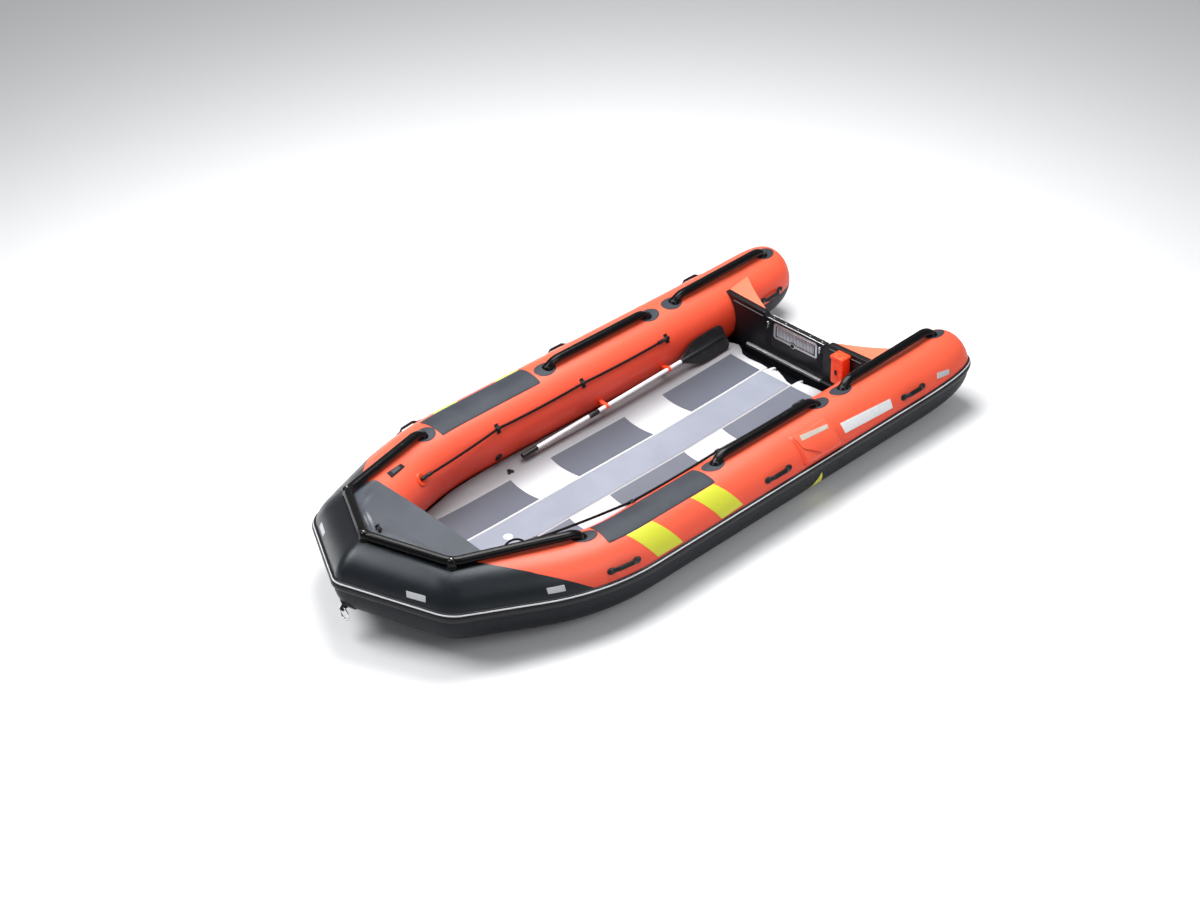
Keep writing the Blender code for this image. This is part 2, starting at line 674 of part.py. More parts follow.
def make_bow_rail():
    """One rail round the bow, on base patches aft and short feet at its three corners."""
    foot, along, round_way, out = tube_frame(BOW_RAIL_AFT_X, RAIL_ANGLE, BOW_BASE_LIFT)
    leg = rail_leg(foot, along, out)
    half = [leg[-1], BOW_RAIL_KNUCKLE, BOW_RAIL_TIP]
    run = rounded(half + mirrored([half[1::-1]], -1)[0], RAIL_CORNER)
    path = leg[:-1] + run + mirrored([leg[-2::-1]], -1)[0]
    pieces = [loft(sweep(path, RAIL_RADIUS, RAIL_SIDES, up=Vector((0.02, 0.015, 1))))]
    for side in (1, -1):
        place = Vector((foot.x, foot.y * side, foot.z))
        pieces.append(disc(place, Vector((out.x, out.y * side, out.z)), RAIL_BASE_RADIUS, RAIL_BASE_THICK))
    corners = ((BOW_RAIL_KNUCKLE, 1, KNUCKLE), (BOW_RAIL_KNUCKLE, -1, KNUCKLE), (BOW_RAIL_TIP, 1, TIP))
    for rail, side, tube in corners:
        base = Vector((rail.x, rail.y * side, crest(tube) + 2 * GAP))
        rings = [[base + Vector((math.cos(a) * BOW_FOOT_RADIUS, math.sin(a) * BOW_FOOT_RADIUS, h))
                  for a in (2 * math.pi * k / 12 for k in range(12))] for h in (0.0, rail.z - base.z)]
        pieces.append(loft(rings))
    union("bow_rail", pieces, GLOSS)


def make_handle(side, name, x, angle):
    """Moulded carrying handle, its two feet glued to the tube."""
    origin, along, round_way, out = tube_frame(x, angle)
    half = HANDLE_LENGTH / 2
    low = HANDLE_THICK / 2 + 2 * GAP
    run = ((-half, low), (-half * HANDLE_FOOT, low), (-half * HANDLE_BEND, HANDLE_RISE),
           (half * HANDLE_BEND, HANDLE_RISE), (half * HANDLE_FOOT, low), (half, low))
    path = [origin + along * a + out * h for a, h in run]
    rings = sweep(path, HANDLE_THICK / 2, 4, flat=HANDLE_WIDTH, up=out)
    keep(f"handle_{name}", loft(mirrored(rings, side)), RUBBER)


def make_step_pad(side, name):
    """Grippy pad bonded over the top of the tube."""
    first, last = STEP_PAD_CORNERS
    inside = [s[0].x for s in STATIONS if STEP_PAD_X[0] < s[0].x < STEP_PAD_X[1]]
    angles = [FIRST_ANGLE + FACE_ANGLE * k for k in range(first, last + 1)]
    rings = []
    for x in (STEP_PAD_X[0], *inside, STEP_PAD_X[1]):
        low = [on_tube(x, a, 3 * GAP) for a in angles]
        high = [on_tube(x, a, STEP_PAD_THICK) for a in reversed(angles)]
        rings.append(low + high)
    keep(f"step_pad_{name}", loft(mirrored(rings, side), flip=range(last - first)), PAD)


def make_lifeline(side, name):
    """Rope held in lugs along the inside of the tube, nearly straight from lug to lug."""
    held = [on_tube(x, LINE_ANGLE, LINE_STAND_OFF) for x in LINE_LUGS]
    path = []
    for point, after in zip(held[:-1], held[1:]):
        for k in range(LINE_STEPS):
            t = k / LINE_STEPS
            droop = LINE_DROOP * math.sin(math.pi * t) ** 2
            path.append(point.lerp(after, t) - Vector((0, 0, droop)))
    path.append(held[-1])
    pieces = [loft(mirrored(sweep(path, LINE_RADIUS, 8), side))]
    length, width, height = LUG_SIZE
    for x in LINE_LUGS:
        origin, along, round_way, out = tube_frame(x, LINE_ANGLE)
        rings = []
        for share, size in LUG_TAPER:
            middle = origin + out * max(height * share, 3 * GAP)
            rings.append([middle + along * a * length / 2 * size + round_way * b * width / 2 * size
                          for a, b in ((-1, -1), (1, -1), (1, 1), (-1, 1))])
        pieces.append(loft(mirrored(rings, side)))
    union(f"lifeline_{name}", pieces, ROPE)


def make_oar(side, name):
    """Oar laid along the deck: grip, shaft and blade."""
    grip = Vector((OAR_GRIP[0], OAR_Y, OAR_GRIP[1]))
    neck = Vector((OAR_BLADE_START[0], OAR_Y, OAR_BLADE_START[1]))
    along = (neck - grip).normalized()
    path = [grip, grip + along * OAR_GRIP_LENGTH, grip + along * (OAR_GRIP_LENGTH + OAR_COLLAR), neck]
    radii = [OAR_GRIP_RADIUS, OAR_GRIP_RADIUS, OAR_SHAFT_RADIUS, OAR_SHAFT_RADIUS]
    rings = sweep(path, radii, 10)
    keep(f"oar_shaft_{name}", loft(mirrored(rings, side)), WHITE)
    start = neck + along * 2 * GAP
    top = along.cross(Vector((0, 1, 0))).normalized()
    top = top if top.z > 0 else -top
    lean = math.radians(BLADE_TILT)
    wide_way = top * math.cos(lean) + Vector((0, math.sin(lean), 0))
    thick_way = along.cross(wide_way).normalized()
    rings = []
    for share, wide in BLADE_OUTLINE:
        centre = start + along * BLADE_LENGTH * share
        half = BLADE_HEIGHT / 2 * wide
        thick = BLADE_THICK / 2
        rings.append([centre + wide_way * a * half + thick_way * b * thick for a, b in BLADE_SECTION])
    keep(f"oar_blade_{name}", loft(mirrored(rings, side)), RUBBER)


def make_oar_clip(side, name, x_middle):
    """Moulded clip glued to the inboard side of the tube, open on top for the oar's shaft."""
    inner = (OAR_SHAFT_RADIUS + GAP) / math.cos(math.radians(CLIP_STEP / 2))
    outer = inner + CLIP_WALL
    first, last = CLIP_OPEN
    fall = (OAR_BLADE_START[1] - OAR_GRIP[1]) / (OAR_BLADE_START[0] - OAR_GRIP[0])
    rings = []
    height = OAR_GRIP[1] + (x_middle - OAR_GRIP[0]) * fall
    level = 180 + math.degrees(math.asin((TUBE_RADIUS - height) / TUBE_RADIUS))
    level = FIRST_ANGLE + FACE_ANGLE * round((level - FIRST_ANGLE) / FACE_ANGLE)
    for x in (x_middle - CLIP_WIDTH / 2, x_middle + CLIP_WIDTH / 2):
        centre = Vector((x, OAR_Y, OAR_GRIP[1] + (x - OAR_GRIP[0]) * fall))
        arc = [(outer, a) for a in range(-CLIP_ROOT, first - 1, -CLIP_STEP)]
        arc += [(inner, a) for a in range(first, last + 1, CLIP_STEP)]
        arc += [(outer, a) for a in range(last, CLIP_ROOT - 1, -CLIP_STEP)]
        turned = [(r, math.radians(a)) for r, a in arc]
        ring = [centre + Vector((0, math.cos(a) * r, -math.sin(a) * r)) for r, a in turned]
        foot = [on_tube(x, level + a, 2 * GAP) for a in (CLIP_FOOT_SPREAD, 0.0, -CLIP_FOOT_SPREAD)]
        rings.append(ring + foot)
    keep(f"oar_clip_{name}", loft(mirrored(rings, side)), ORANGE)


def make_box():
    """Equipment box fixed to the transom on the port side."""
    deep, wide, high = BOX_SIZE
    x = TRANSOM_FRONT_X + GAP
    rings = []
    for share, inset in BOX_DRAFT:
        rings.append([Vector((x + deep * share, BOX_Y + a * (wide / 2 - inset), BOX_Z + high * b - c * inset))
                      for a, b, c in ((-1, 0, -1), (1, 0, -1), (1, 1, 1), (-1, 1, 1))])
    keep("equipment_box", loft(rings), ORANGE)


def make_pouch():
    """Fabric pouch on the outside of the port tube."""
    first, last = POUCH_CORNERS
    rings = []
    angles = [FIRST_ANGLE + FACE_ANGLE * k for k in range(first, last + 1)]
    aft, fore = POUCH_X
    for x, proud in ((aft, 0.5), (aft + POUCH_EDGE, 1.0), (fore - POUCH_EDGE, 1.0), (fore, 0.5)):
        low = [on_tube(x, a, 2 * GAP) for a in angles]
        high = [on_tube(x, a, POUCH_THICK * proud) for a in reversed(angles)]
        rings.append(low + high)
    keep("side_pouch", loft(rings), ORANGE)


def make_towing_eye():
    """Plate bonded under the nose, with an eye, and the ring that hangs from it."""
    nose = STATIONS[NOSE_STATION]
    tip = STATIONS[TIP_STATION]
    middle_angle = FIRST_ANGLE + FACE_ANGLE * (TOW_CORNERS[0] + 0.5)
    turn = math.radians(middle_angle)
    front = Vector((math.cos(turn), 0, math.sin(turn)))
    beside = nose[1] * math.cos(turn) + Vector((0, 0, math.sin(turn)))
    rings = []
    for k in TOW_CORNERS:
        centre = corner(tip, k)
        centre.y = 0.0
        share = TOW_PLATE_HALF / corner(nose, k).y
        edge = corner(tip, k).lerp(corner(nose, k), share)
        back = [edge + beside * 2 * GAP, centre + front * 2 * GAP]
        face = [centre + front * TOW_PLATE_THICK, edge + beside * TOW_PLATE_THICK]
        other = [Vector((p.x, -p.y, p.z)) for p in (back[0], face[1])]
        rings.append([back[0], back[1], other[0], other[1], face[0], face[1]])
    plate = loft(rings)
    middle = (rings[0][4] + rings[1][4]) / 2
    along = (rings[1][4] - rings[0][4]).normalized()
    half = TOW_LUG_THICK / 2
    foot, sink = TOW_LUG_FOOT
    outline = ((-foot, -sink), (-TOW_LUG_HEAD, TOW_LUG), (TOW_LUG_HEAD, TOW_LUG), (foot, -sink))
    lug = loft([[middle + along * a + front * b + Vector((0, y, 0)) for a, b in outline] for y in (-half, half)])
    eye = union("towing_eye", [plate, lug], METAL)
    centre = middle + front * TOW_LUG * 0.5
    hole = bmesh.new()
    bmesh.ops.create_cone(hole, cap_ends=True, segments=16, radius1=TOW_HOLE, radius2=TOW_HOLE, depth=0.05,
                          matrix=Matrix.Translation(centre) @ Matrix.Rotation(math.pi / 2, 4, "X"))
    cutter = keep("towing_eye_hole", hole, METAL)
    cutter.hide_render = True
    cutter.display_type = "WIRE"
    bore = eye.modifiers.new("bore", "BOOLEAN")
    bore.operation = "DIFFERENCE"
    bore.object = cutter
    make_towing_ring(centre)


def make_towing_ring(hinge):
    """Steel ring through the eye, its origin on the line it swings about."""
    ring = bmesh.new()
    steps = 20
    sides = 8
    rows = []
    for i in range(steps):
        a = 2 * math.pi * i / steps
        out = Vector((0, math.sin(a), -math.cos(a)))
        middle = out * TOW_RING_RADIUS - Vector((0, 0, TOW_RING_RADIUS))
        spokes = [out * math.cos(b) + Vector((1, 0, 0)) * math.sin(b)
                  for b in (2 * math.pi * k / sides for k in range(sides))]
        rows.append([ring.verts.new(middle + spoke * TOW_RING_WIRE) for spoke in spokes])
    for i in range(steps):
        for k in range(sides):
            ring.faces.new((rows[i - 1][k], rows[i][k], rows[i][(k + 1) % sides], rows[i - 1][(k + 1) % sides]))
    made = keep("towing_ring", ring, METAL)
    made.location = hinge


def make_valve():
    """Inflation valve on the inside of the starboard tube."""
    origin, along, round_way, out = tube_frame(VALVE_X, VALVE_ANGLE, 2 * GAP)
    place = Vector((origin.x, -origin.y, origin.z))
    keep("air_valve", disc(place, Vector((0, -out.y, out.z)), VALVE_RADIUS, VALVE_PROUD), RUBBER)


for side, name in ((1, "port"), (-1, "starboard")):
    make_tubes(side, name)
    make_strake(side, name)
    make_gusset(side, name)
    for place, span in RAIL_SPANS.items():
        make_side_rail(side, f"{place}_{name}", span)
    for place, x in OUTER_HANDLES.items():
        make_handle(side, f"{place}_{name}", x, OUTER_HANDLE_ANGLE)
    make_handle(side, f"tail_{name}", TAIL_HANDLE_X, TAIL_HANDLE_ANGLE)
    make_step_pad(side, name)
    make_lifeline(side, name)
    make_oar(side, name)
    for place, x in OAR_CLIPS.items():
        make_oar_clip(side, f"{place}_{name}", x)
make_bottom()
make_deck()
make_transom()
make_transom_fittings()
make_cover()
make_bow_rail()
make_box()
make_pouch()
make_towing_eye()
make_valve()
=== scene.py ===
"""Inflatable rescue boat: its looks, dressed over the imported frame."""

import math

import bmesh
import bpy
import numpy as np
from mathutils import Matrix, Vector
from mathutils.bvhtree import BVHTree


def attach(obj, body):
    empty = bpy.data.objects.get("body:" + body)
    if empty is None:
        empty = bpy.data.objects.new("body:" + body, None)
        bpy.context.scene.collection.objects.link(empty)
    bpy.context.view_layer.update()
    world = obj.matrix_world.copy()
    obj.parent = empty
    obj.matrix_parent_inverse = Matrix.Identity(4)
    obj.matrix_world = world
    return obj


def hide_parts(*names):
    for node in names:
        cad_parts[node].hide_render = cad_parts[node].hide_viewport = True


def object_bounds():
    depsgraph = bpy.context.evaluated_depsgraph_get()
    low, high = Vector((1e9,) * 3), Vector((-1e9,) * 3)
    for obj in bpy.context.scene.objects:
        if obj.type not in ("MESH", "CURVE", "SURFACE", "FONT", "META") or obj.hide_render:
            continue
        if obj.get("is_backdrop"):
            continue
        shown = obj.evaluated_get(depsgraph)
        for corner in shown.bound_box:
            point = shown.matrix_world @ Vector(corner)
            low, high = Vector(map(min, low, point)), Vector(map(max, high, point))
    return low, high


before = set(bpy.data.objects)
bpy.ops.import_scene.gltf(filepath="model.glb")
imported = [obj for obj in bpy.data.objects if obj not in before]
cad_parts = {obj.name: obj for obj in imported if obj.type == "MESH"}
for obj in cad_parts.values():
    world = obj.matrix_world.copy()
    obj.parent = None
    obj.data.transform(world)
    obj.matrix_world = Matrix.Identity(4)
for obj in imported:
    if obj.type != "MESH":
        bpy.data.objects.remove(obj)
cad_box = [list(corner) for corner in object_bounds()]

# The camera looks down over the port bow, at the photograph's viewing angle. It stands
# far off with a long lens, so the far tube is hardly smaller than the near one.
CAMERA_PLACE = Vector((7.324, 8.031, 7.905))
CAMERA_AZIMUTH = math.radians(48.40)
CAMERA_HEIGHT = math.radians(35.18)
CAMERA_ROLL = math.radians(-2.26)
CAMERA_LENS = 60.9
CAMERA_SENSOR = 36.0

camera_data = bpy.data.cameras.new("camera")
camera_data.lens = CAMERA_LENS
camera_data.sensor_width = CAMERA_SENSOR
camera = bpy.data.objects.new("camera", camera_data)
back = Vector((math.cos(CAMERA_AZIMUTH) * math.cos(CAMERA_HEIGHT),
               math.sin(CAMERA_AZIMUTH) * math.cos(CAMERA_HEIGHT), math.sin(CAMERA_HEIGHT)))
level = Vector((-math.sin(CAMERA_AZIMUTH), math.cos(CAMERA_AZIMUTH), 0.0))
upright = back.cross(level)
right = level * math.cos(CAMERA_ROLL) + upright * math.sin(CAMERA_ROLL)
above = upright * math.cos(CAMERA_ROLL) - level * math.sin(CAMERA_ROLL)
camera.matrix_world = Matrix.Translation(CAMERA_PLACE) @ Matrix((right, above, back)).transposed().to_4x4()
bpy.context.scene.collection.objects.link(camera)
bpy.context.scene.camera = camera

# A pale floor under large soft lights over the stern and the bow, a weaker one to port
# and an even white surround, so the shadows stay faint and the gloss shows as broad bands.
FLOOR_HALF = 40.0
FLOOR_Z = -0.001
FLOOR_COLOUR = (0.86, 0.86, 0.87, 1.0)
FLOOR_ROUGHNESS = 0.9
SKY_COLOUR = (0.96, 0.98, 1.0, 1.0)
SKY_STRENGTH = 0.32
LIGHTS = (
    # name, place, size, power
    ("overhead_light", (-1.2, -1.2, 6.0), 5.0, 560.0),
    ("bow_light", (4.2, -2.0, 5.6), 3.6, 330.0),
    ("port_light", (-1.0, 6.5, 5.0), 4.0, 120.0),
)

floor_mesh = bpy.data.meshes.new("floor")
floor_corners = ((-1, -1), (1, -1), (1, 1), (-1, 1))
floor_mesh.from_pydata([(FLOOR_HALF * x, FLOOR_HALF * y, FLOOR_Z) for x, y in floor_corners], [], [(0, 1, 2, 3)])
floor = bpy.data.objects.new("floor", floor_mesh)
floor_paint = bpy.data.materials.new("floor_paint")
floor_paint.use_nodes = True
floor_paint.node_tree.nodes["Principled BSDF"].inputs["Base Color"].default_value = FLOOR_COLOUR
floor_paint.node_tree.nodes["Principled BSDF"].inputs["Roughness"].default_value = FLOOR_ROUGHNESS
floor_mesh.materials.append(floor_paint)
bpy.context.scene.collection.objects.link(floor)
floor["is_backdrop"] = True
sky = bpy.data.worlds.new("sky")
sky.use_nodes = True
sky.node_tree.nodes["Background"].inputs["Color"].default_value = SKY_COLOUR
sky.node_tree.nodes["Background"].inputs["Strength"].default_value = SKY_STRENGTH
bpy.context.scene.world = sky
bpy.context.scene.view_settings.view_transform = "Standard"
for name, place, size, power in LIGHTS:
    lamp = bpy.data.lights.new(name, "AREA")
    lamp.shape = "DISK"
    lamp.size = size
    lamp.energy = power
    light = bpy.data.objects.new(name, lamp)
    light.location = place
    light.rotation_euler = (-Vector(place)).to_track_quat("-Z", "Y").to_euler()
    bpy.context.scene.collection.objects.link(light)

# The two side tubes carry the boat: orange coated fabric, glued into tubes of one thickness,
# with raised tails, and mitred into each other over the bow at a knuckle a side and the tip.
SIDES = ((1, "port"), (-1, "starboard"))
MIRROR = np.array((1.0, -1.0, 1.0))
TUBE_RADIUS = 0.248
TUBE_SPREAD = 0.830
STERN_X = -2.340
TAIL_LENGTH = 0.674
TAIL_LIFT = 0.38
TAIL_FULLNESS = 5.07
TAIL_STEPS = (0.9996, 0.999, 0.997, 0.994, 0.989, 0.982, 0.972, 0.958, 0.94, 0.915, 0.885, 0.85, 0.81, 0.76,
              0.70, 0.63, 0.55, 0.46, 0.36, 0.24, 0.12, 0.0)
TAIL_CAP = ((0.0012, 0.0), (0.0011, 0.35), (0.0008, 0.65), (0.0004, 0.88))
BEND_X = 1.069
BEND_REACH = 0.36
BEND_STEPS = 20
KNUCKLE = np.array((1.813, 0.479, 0.329))
TIP = np.array((2.042, 0.0, 0.398))
KNUCKLE_ROUND = 0.090
TIP_ROUND = 0.050
DEGREE = TUBE_RADIUS * math.pi / 180


def unit(vectors):
    """A vector, or each of an array of them, at length one."""
    vectors = np.asarray(vectors, float)
    return vectors / np.linalg.norm(vectors, axis=-1, keepdims=True)


def curve(start, bend, stop, steps):
    """Points of a soft bend that leaves start towards the bend and comes to stop from it."""
    t = np.linspace(0, 1, steps)[:, None]
    return start * (1 - t) ** 2 + bend * 2 * t * (1 - t) + stop * t ** 2


def tube_path():
    """Rows of the port tube: centre x, y, z, the level direction outward x, y, and the radius."""
    rows = []
    for step in TAIL_STEPS:
        shrink = (1 - step ** TAIL_FULLNESS) ** (1 / TAIL_FULLNESS)
        rows.append((STERN_X + TAIL_LENGTH * (1 - step), TUBE_SPREAD,
                     TUBE_RADIUS * (1 + TAIL_LIFT * math.sqrt(1 - shrink)), 0.0, 1.0, TUBE_RADIUS * shrink))
    end = rows[0]
    rows = [(end[0] - depth, *end[1:5], end[5] * share) for depth, share in TAIL_CAP] + rows
    bend = np.array((BEND_X, TUBE_SPREAD, TUBE_RADIUS))
    onward = unit(KNUCKLE - bend)
    start = bend - np.array((BEND_REACH, 0.0, 0.0))
    stop = bend + onward * BEND_REACH
    for t, centre in zip(np.linspace(0, 1, BEND_STEPS + 1), curve(start, bend, stop, BEND_STEPS + 1)):
        heading = unit(((bend - start) * (1 - t) + (stop - bend) * t)[:2])
        rows.append((*centre, -heading[1], heading[0], TUBE_RADIUS))
    before = unit(onward[:2])
    after = unit((TIP - KNUCKLE)[:2])
    heading = unit((onward + unit(TIP - KNUCKLE))[:2])
    stretch = 1 / math.sqrt((1 + before @ after) / 2)
    rows.append((*KNUCKLE, -heading[1] * stretch, heading[0] * stretch, TUBE_RADIUS))
    rows.append((*TIP, 1 / abs(after[1]), 0.0, TUBE_RADIUS))
    return np.array(rows)


PATH = tube_path()


def ring_points(row, turn, lift):
    """Points of one ring of the tube at turns from its outboard side over the top."""
    reach = row[5] + lift
    flat = reach * np.cos(turn)
    return np.stack([row[0] + row[3] * flat, row[1] + row[4] * flat, row[2] + reach * np.sin(turn)], -1)


def hull(x, degrees, lift=0.0, side=1):
    """Points on the tube at places along the boat and turns round its section, lifted off it."""
    x, turn, lift = np.broadcast_arrays(np.asarray(x, float), np.radians(degrees), np.asarray(lift, float))
    row = [x] + [np.interp(x, PATH[:, 0], PATH[:, k]) for k in range(1, 6)]
    points = ring_points(row, turn, lift)
    for index, reach in ((len(PATH) - 2, KNUCKLE_ROUND), (len(PATH) - 1, TIP_ROUND)):
        place = ring_points(PATH[index], turn, lift)
        before = unit(ring_points(PATH[index - 1], turn, lift) - place)
        if index + 1 < len(PATH):
            after = unit(ring_points(PATH[index + 1], turn, lift) - place)
        else:
            after = before * MIRROR
        far = np.linalg.norm(points - place, axis=-1)
        share = (np.where(x < PATH[index, 0], -far, far) / (2 * reach) + 0.5)[..., None]
        mitre = place + reach * (before * (1 - share) ** 2 + after * share ** 2)
        points = np.where((far < reach)[..., None], mitre, points)
    return points * np.array((1.0, side, 1.0))


def shell(outer, inner):
    """Points and faces of a closed skin between two grids of points."""
    rows, columns = outer.shape[:2]
    count = rows * columns
    index = np.arange(count).reshape(rows, columns)
    quads = np.stack([index[:-1, :-1], index[1:, :-1], index[1:, 1:], index[:-1, 1:]], -1).reshape(-1, 4)
    rim = np.concatenate([index[0], index[1:, -1], index[-1, -2::-1], index[-2:0:-1, 0]])
    ahead = np.roll(rim, -1)
    sides = np.stack([rim, ahead, ahead + count, rim + count], -1)
    points = np.concatenate([outer.reshape(-1, 3), inner.reshape(-1, 3)])
    return points, np.concatenate([quads, quads[:, ::-1] + count, sides]).tolist()


def build(name, parts, finish, slot, *nodes, body="hull", cloth=None, crease=40.0):
    """A piece from (points, faces) parts, for solids of the frame; cloth gives places on the flat cloth."""
    points = []
    faces = []
    for part_points, part_faces in parts:
        faces += [[i + len(points) for i in face] for face in part_faces]
        points += np.asarray(part_points, float).tolist()
    mesh = bpy.data.meshes.new(name)
    mesh.from_pydata(points, [], faces)
    shape = bmesh.new()
    shape.from_mesh(mesh)
    bmesh.ops.recalc_face_normals(shape, faces=shape.faces)
    shape.to_mesh(mesh)
    shape.free()
    if cloth is not None:
        corners = np.zeros(len(mesh.loops), int)
        mesh.loops.foreach_get("vertex_index", corners)
        layer = mesh.uv_layers.new(name="cloth")
        layer.data.foreach_set("uv", np.resize(cloth, (len(points), 2))[corners].ravel())
    mesh.shade_smooth()
    mesh.set_sharp_from_angle(angle=math.radians(crease))
    mesh.materials.append(finish)
    made = bpy.data.objects.new(name, mesh)
    bpy.context.scene.collection.objects.link(made)
    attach(made, body)
    if nodes:
        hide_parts(*nodes)
    return made


SKIN_THICK = 0.0020


def skin(name, x, degrees, lift, side, finish, slot, *nodes, low=None):
    """A closed layer of cloth on the tube, or one down to a low lift, over places along and turns round it."""
    x, degrees = np.broadcast_arrays(x, degrees)
    part = shell(hull(x, degrees, lift, side), hull(x, degrees, lift - SKIN_THICK if low is None else low, side))
    return build(name, [part], finish, slot, *nodes, cloth=np.stack([x, degrees * DEGREE], -1))


class Signal:
    """A node's output socket that reads like a value: sums and products of it add Math nodes."""

    def __init__(self, socket):
        self.socket = socket

    def node(self, kind, settings, values, output=0):
        """Another node of this tree: its settings first, then the values or links of its sockets."""
        tree = self.socket.id_data
        made = tree.nodes.new("ShaderNode" + kind)
        for key, value in settings.items():
            setattr(made, key, value)
        for key, value in values.items():
            if isinstance(value, Signal):
                tree.links.new(value.socket, made.inputs[key])
            else:
                made.inputs[key].default_value = value
        return Signal(made.outputs[output])

    def math(self, operation, first, second):
        return self.node("Math", {"operation": operation}, {0: first, 1: second})

    def __add__(self, other):
        return self.math("ADD", self, other)

    def __sub__(self, other):
        return self.math("SUBTRACT", self, other)

    def __rsub__(self, other):
        return self.math("SUBTRACT", other, self)

    def __mul__(self, other):
        return self.math("MULTIPLY", self, other)

    __radd__ = __add__
    __rmul__ = __mul__

    def __abs__(self):
        return self.math("ABSOLUTE", self, 0.0)

    def __lt__(self, other):
        return self.math("LESS_THAN", self, other)

    def __gt__(self, other):
        return self.math("GREATER_THAN", self, other)

    def ramp(self, low, high):
        """0 below low, 1 above high, and smooth between; the other way round where low is larger."""
        return self.node("MapRange", {"interpolation_type": "SMOOTHSTEP"},
                         {"Value": self, "From Min": low, "From Max": high})

    def blend(self, first, second):
        """The first colour where this is 0 and the second where it is 1."""
        return self.node("Mix", {"data_type": "RGBA"}, {0: self, 6: first, 7: second}, output=2)

    def noise(self, scale, detail=2.0, distortion=0.0):
        return self.node("TexNoise", {}, {"Vector": self, "Scale": scale, "Detail": detail,
                                          "Distortion": distortion})

    def parts(self):
        """The three numbers of a vector."""
        return [self.node("SeparateXYZ", {}, {"Vector": self}, output=k) for k in range(3)]

    def bands(self, period, direction="X"):
        """Rounded ribs across a direction, one for each period, from 0 to 1."""
        return self.node("TexWave", {"bands_direction": direction},
                         {"Vector": self, "Scale": math.pi / 10 / period, "Distortion": 0.0}, output=1)

    def bump(self, distance):
        """The surface normal with this height, from 0 to 1, of that many metres."""
        return self.node("Bump", {}, {"Height": self, "Distance": distance})


def start_finish(name, fixed):
    """A material, its shader, and the places on the boat and on the flat cloth for its pattern."""
    made = bpy.data.materials.new(name)
    made.use_nodes = True
    nodes = made.node_tree.nodes
    shader = nodes["Principled BSDF"]
    for key, value in fixed.items():
        shader.inputs[key].default_value = value
    flat = nodes.new("ShaderNodeUVMap")
    flat.uv_map = "cloth"
    return made, shader, Signal(nodes.new("ShaderNodeTexCoord").outputs["Object"]), Signal(flat.outputs[0])


def feed(shader, **signals):
    """Link what changes over the surface: base_color, roughness, metallic or normal."""
    for key, signal in signals.items():
        shader.id_data.links.new(signal.socket, shader.inputs[key.replace("_", " ").title()])


SHEEN = (0.86, 0.94, 1.0, 1.0)
# Heights over which the painted highlight on the tube tops comes in.
TOP_HIGHLIGHT_FROM = (0.26, 0.50)


def coated_fabric(name, colour, shade, roughness, coat, gloss=0.5, painted_top_highlight=None):
    """Coated boat cloth: a faint weave under a smooth coat, and a painted highlight towards the top where a top
    colour is given.
    """
    made, shader, place, flat = start_finish(name, {"Coat Weight": coat, "Coat Roughness": 0.28,
                                                    "Specular IOR Level": gloss, "Specular Tint": SHEEN})
    cloud = place.noise(1.9, 3.0)
    grain = place.noise(380.0)
    scuff = place.noise(14.0, 5.0, 1.4).ramp(0.52, 0.78)
    weave = flat.bands(0.0016) * flat.bands(0.0016, "Y")
    cloth = (cloud.ramp(0.3, 0.7) * 0.8 + scuff * 0.2).blend((*shade, 1.0), (*colour, 1.0))
    # Painted highlight: higher up, the cloth turns to the paler top colour, as if lit from above.
    if painted_top_highlight:
        cloth = (place.parts()[2].ramp(*TOP_HIGHLIGHT_FROM) * (cloud * 0.3 + 0.85)).blend(cloth, (*painted_top_highlight, 1.0))
    feed(shader, base_color=cloth, roughness=grain * 0.08 + scuff * 0.10 + (roughness - 0.06),
         normal=(weave * 0.10 + grain * 0.06 + place.noise(5.0, 3.0, 0.6)).bump(0.0016))
    return made


SEAM_PLACES = np.array(((1.102, 1.074, 0.288), (1.685, 0.579, 0.563), (1.620, 0.300, 0.290)))
SEAM_SEARCH = (0.80, 1.80)
SEAM_HALVINGS = 40
STRETCH_FROM_X = 0.68
LOWER_SEAM_TURN = 226.5
SKIN_TURNS = np.linspace(4.0, LOWER_SEAM_TURN, 72)

# The last colour is the painted highlight on the tube tops.
orange_fabric = coated_fabric("orange_fabric", (0.76, 0.064, 0.028), (0.72, 0.054, 0.023), 0.42, 0.12, 0.4,
                              (0.80, 0.104, 0.045))


def seam_x(degrees):
    """Where the slanting seam between the orange side and the black bow crosses each turn."""
    first, second, third = SEAM_PLACES
    facing = np.cross(second - first, third - first)
    facing = facing * math.copysign(1, facing[0])
    low, high = (np.full(np.shape(degrees), end) for end in SEAM_SEARCH)
    for _ in range(SEAM_HALVINGS):
        middle = (low + high) / 2
        before = (hull(middle, degrees) - first) @ facing < 0
        low = np.where(before, middle, low)
        high = np.where(before, high, middle)
    return low


tail_x = [row[0] for row in PATH if row[0] <= STERN_X + TAIL_LENGTH]
side_x = np.array(tail_x + list(np.linspace(STERN_X + TAIL_LENGTH, STRETCH_FROM_X, 40)[1:]))
seam_share = np.linspace(0, 1, 34)[1:, None]
side_grid = np.concatenate([np.repeat(side_x[:, None], len(SKIN_TURNS), 1),
                            STRETCH_FROM_X + seam_share * (seam_x(SKIN_TURNS) - STRETCH_FROM_X)])
for side, hand in SIDES:
    skin(f"tube_skin_{hand}", side_grid, SKIN_TURNS, 0.0, side, orange_fabric, "orange_fabric", f"tube_{hand}")

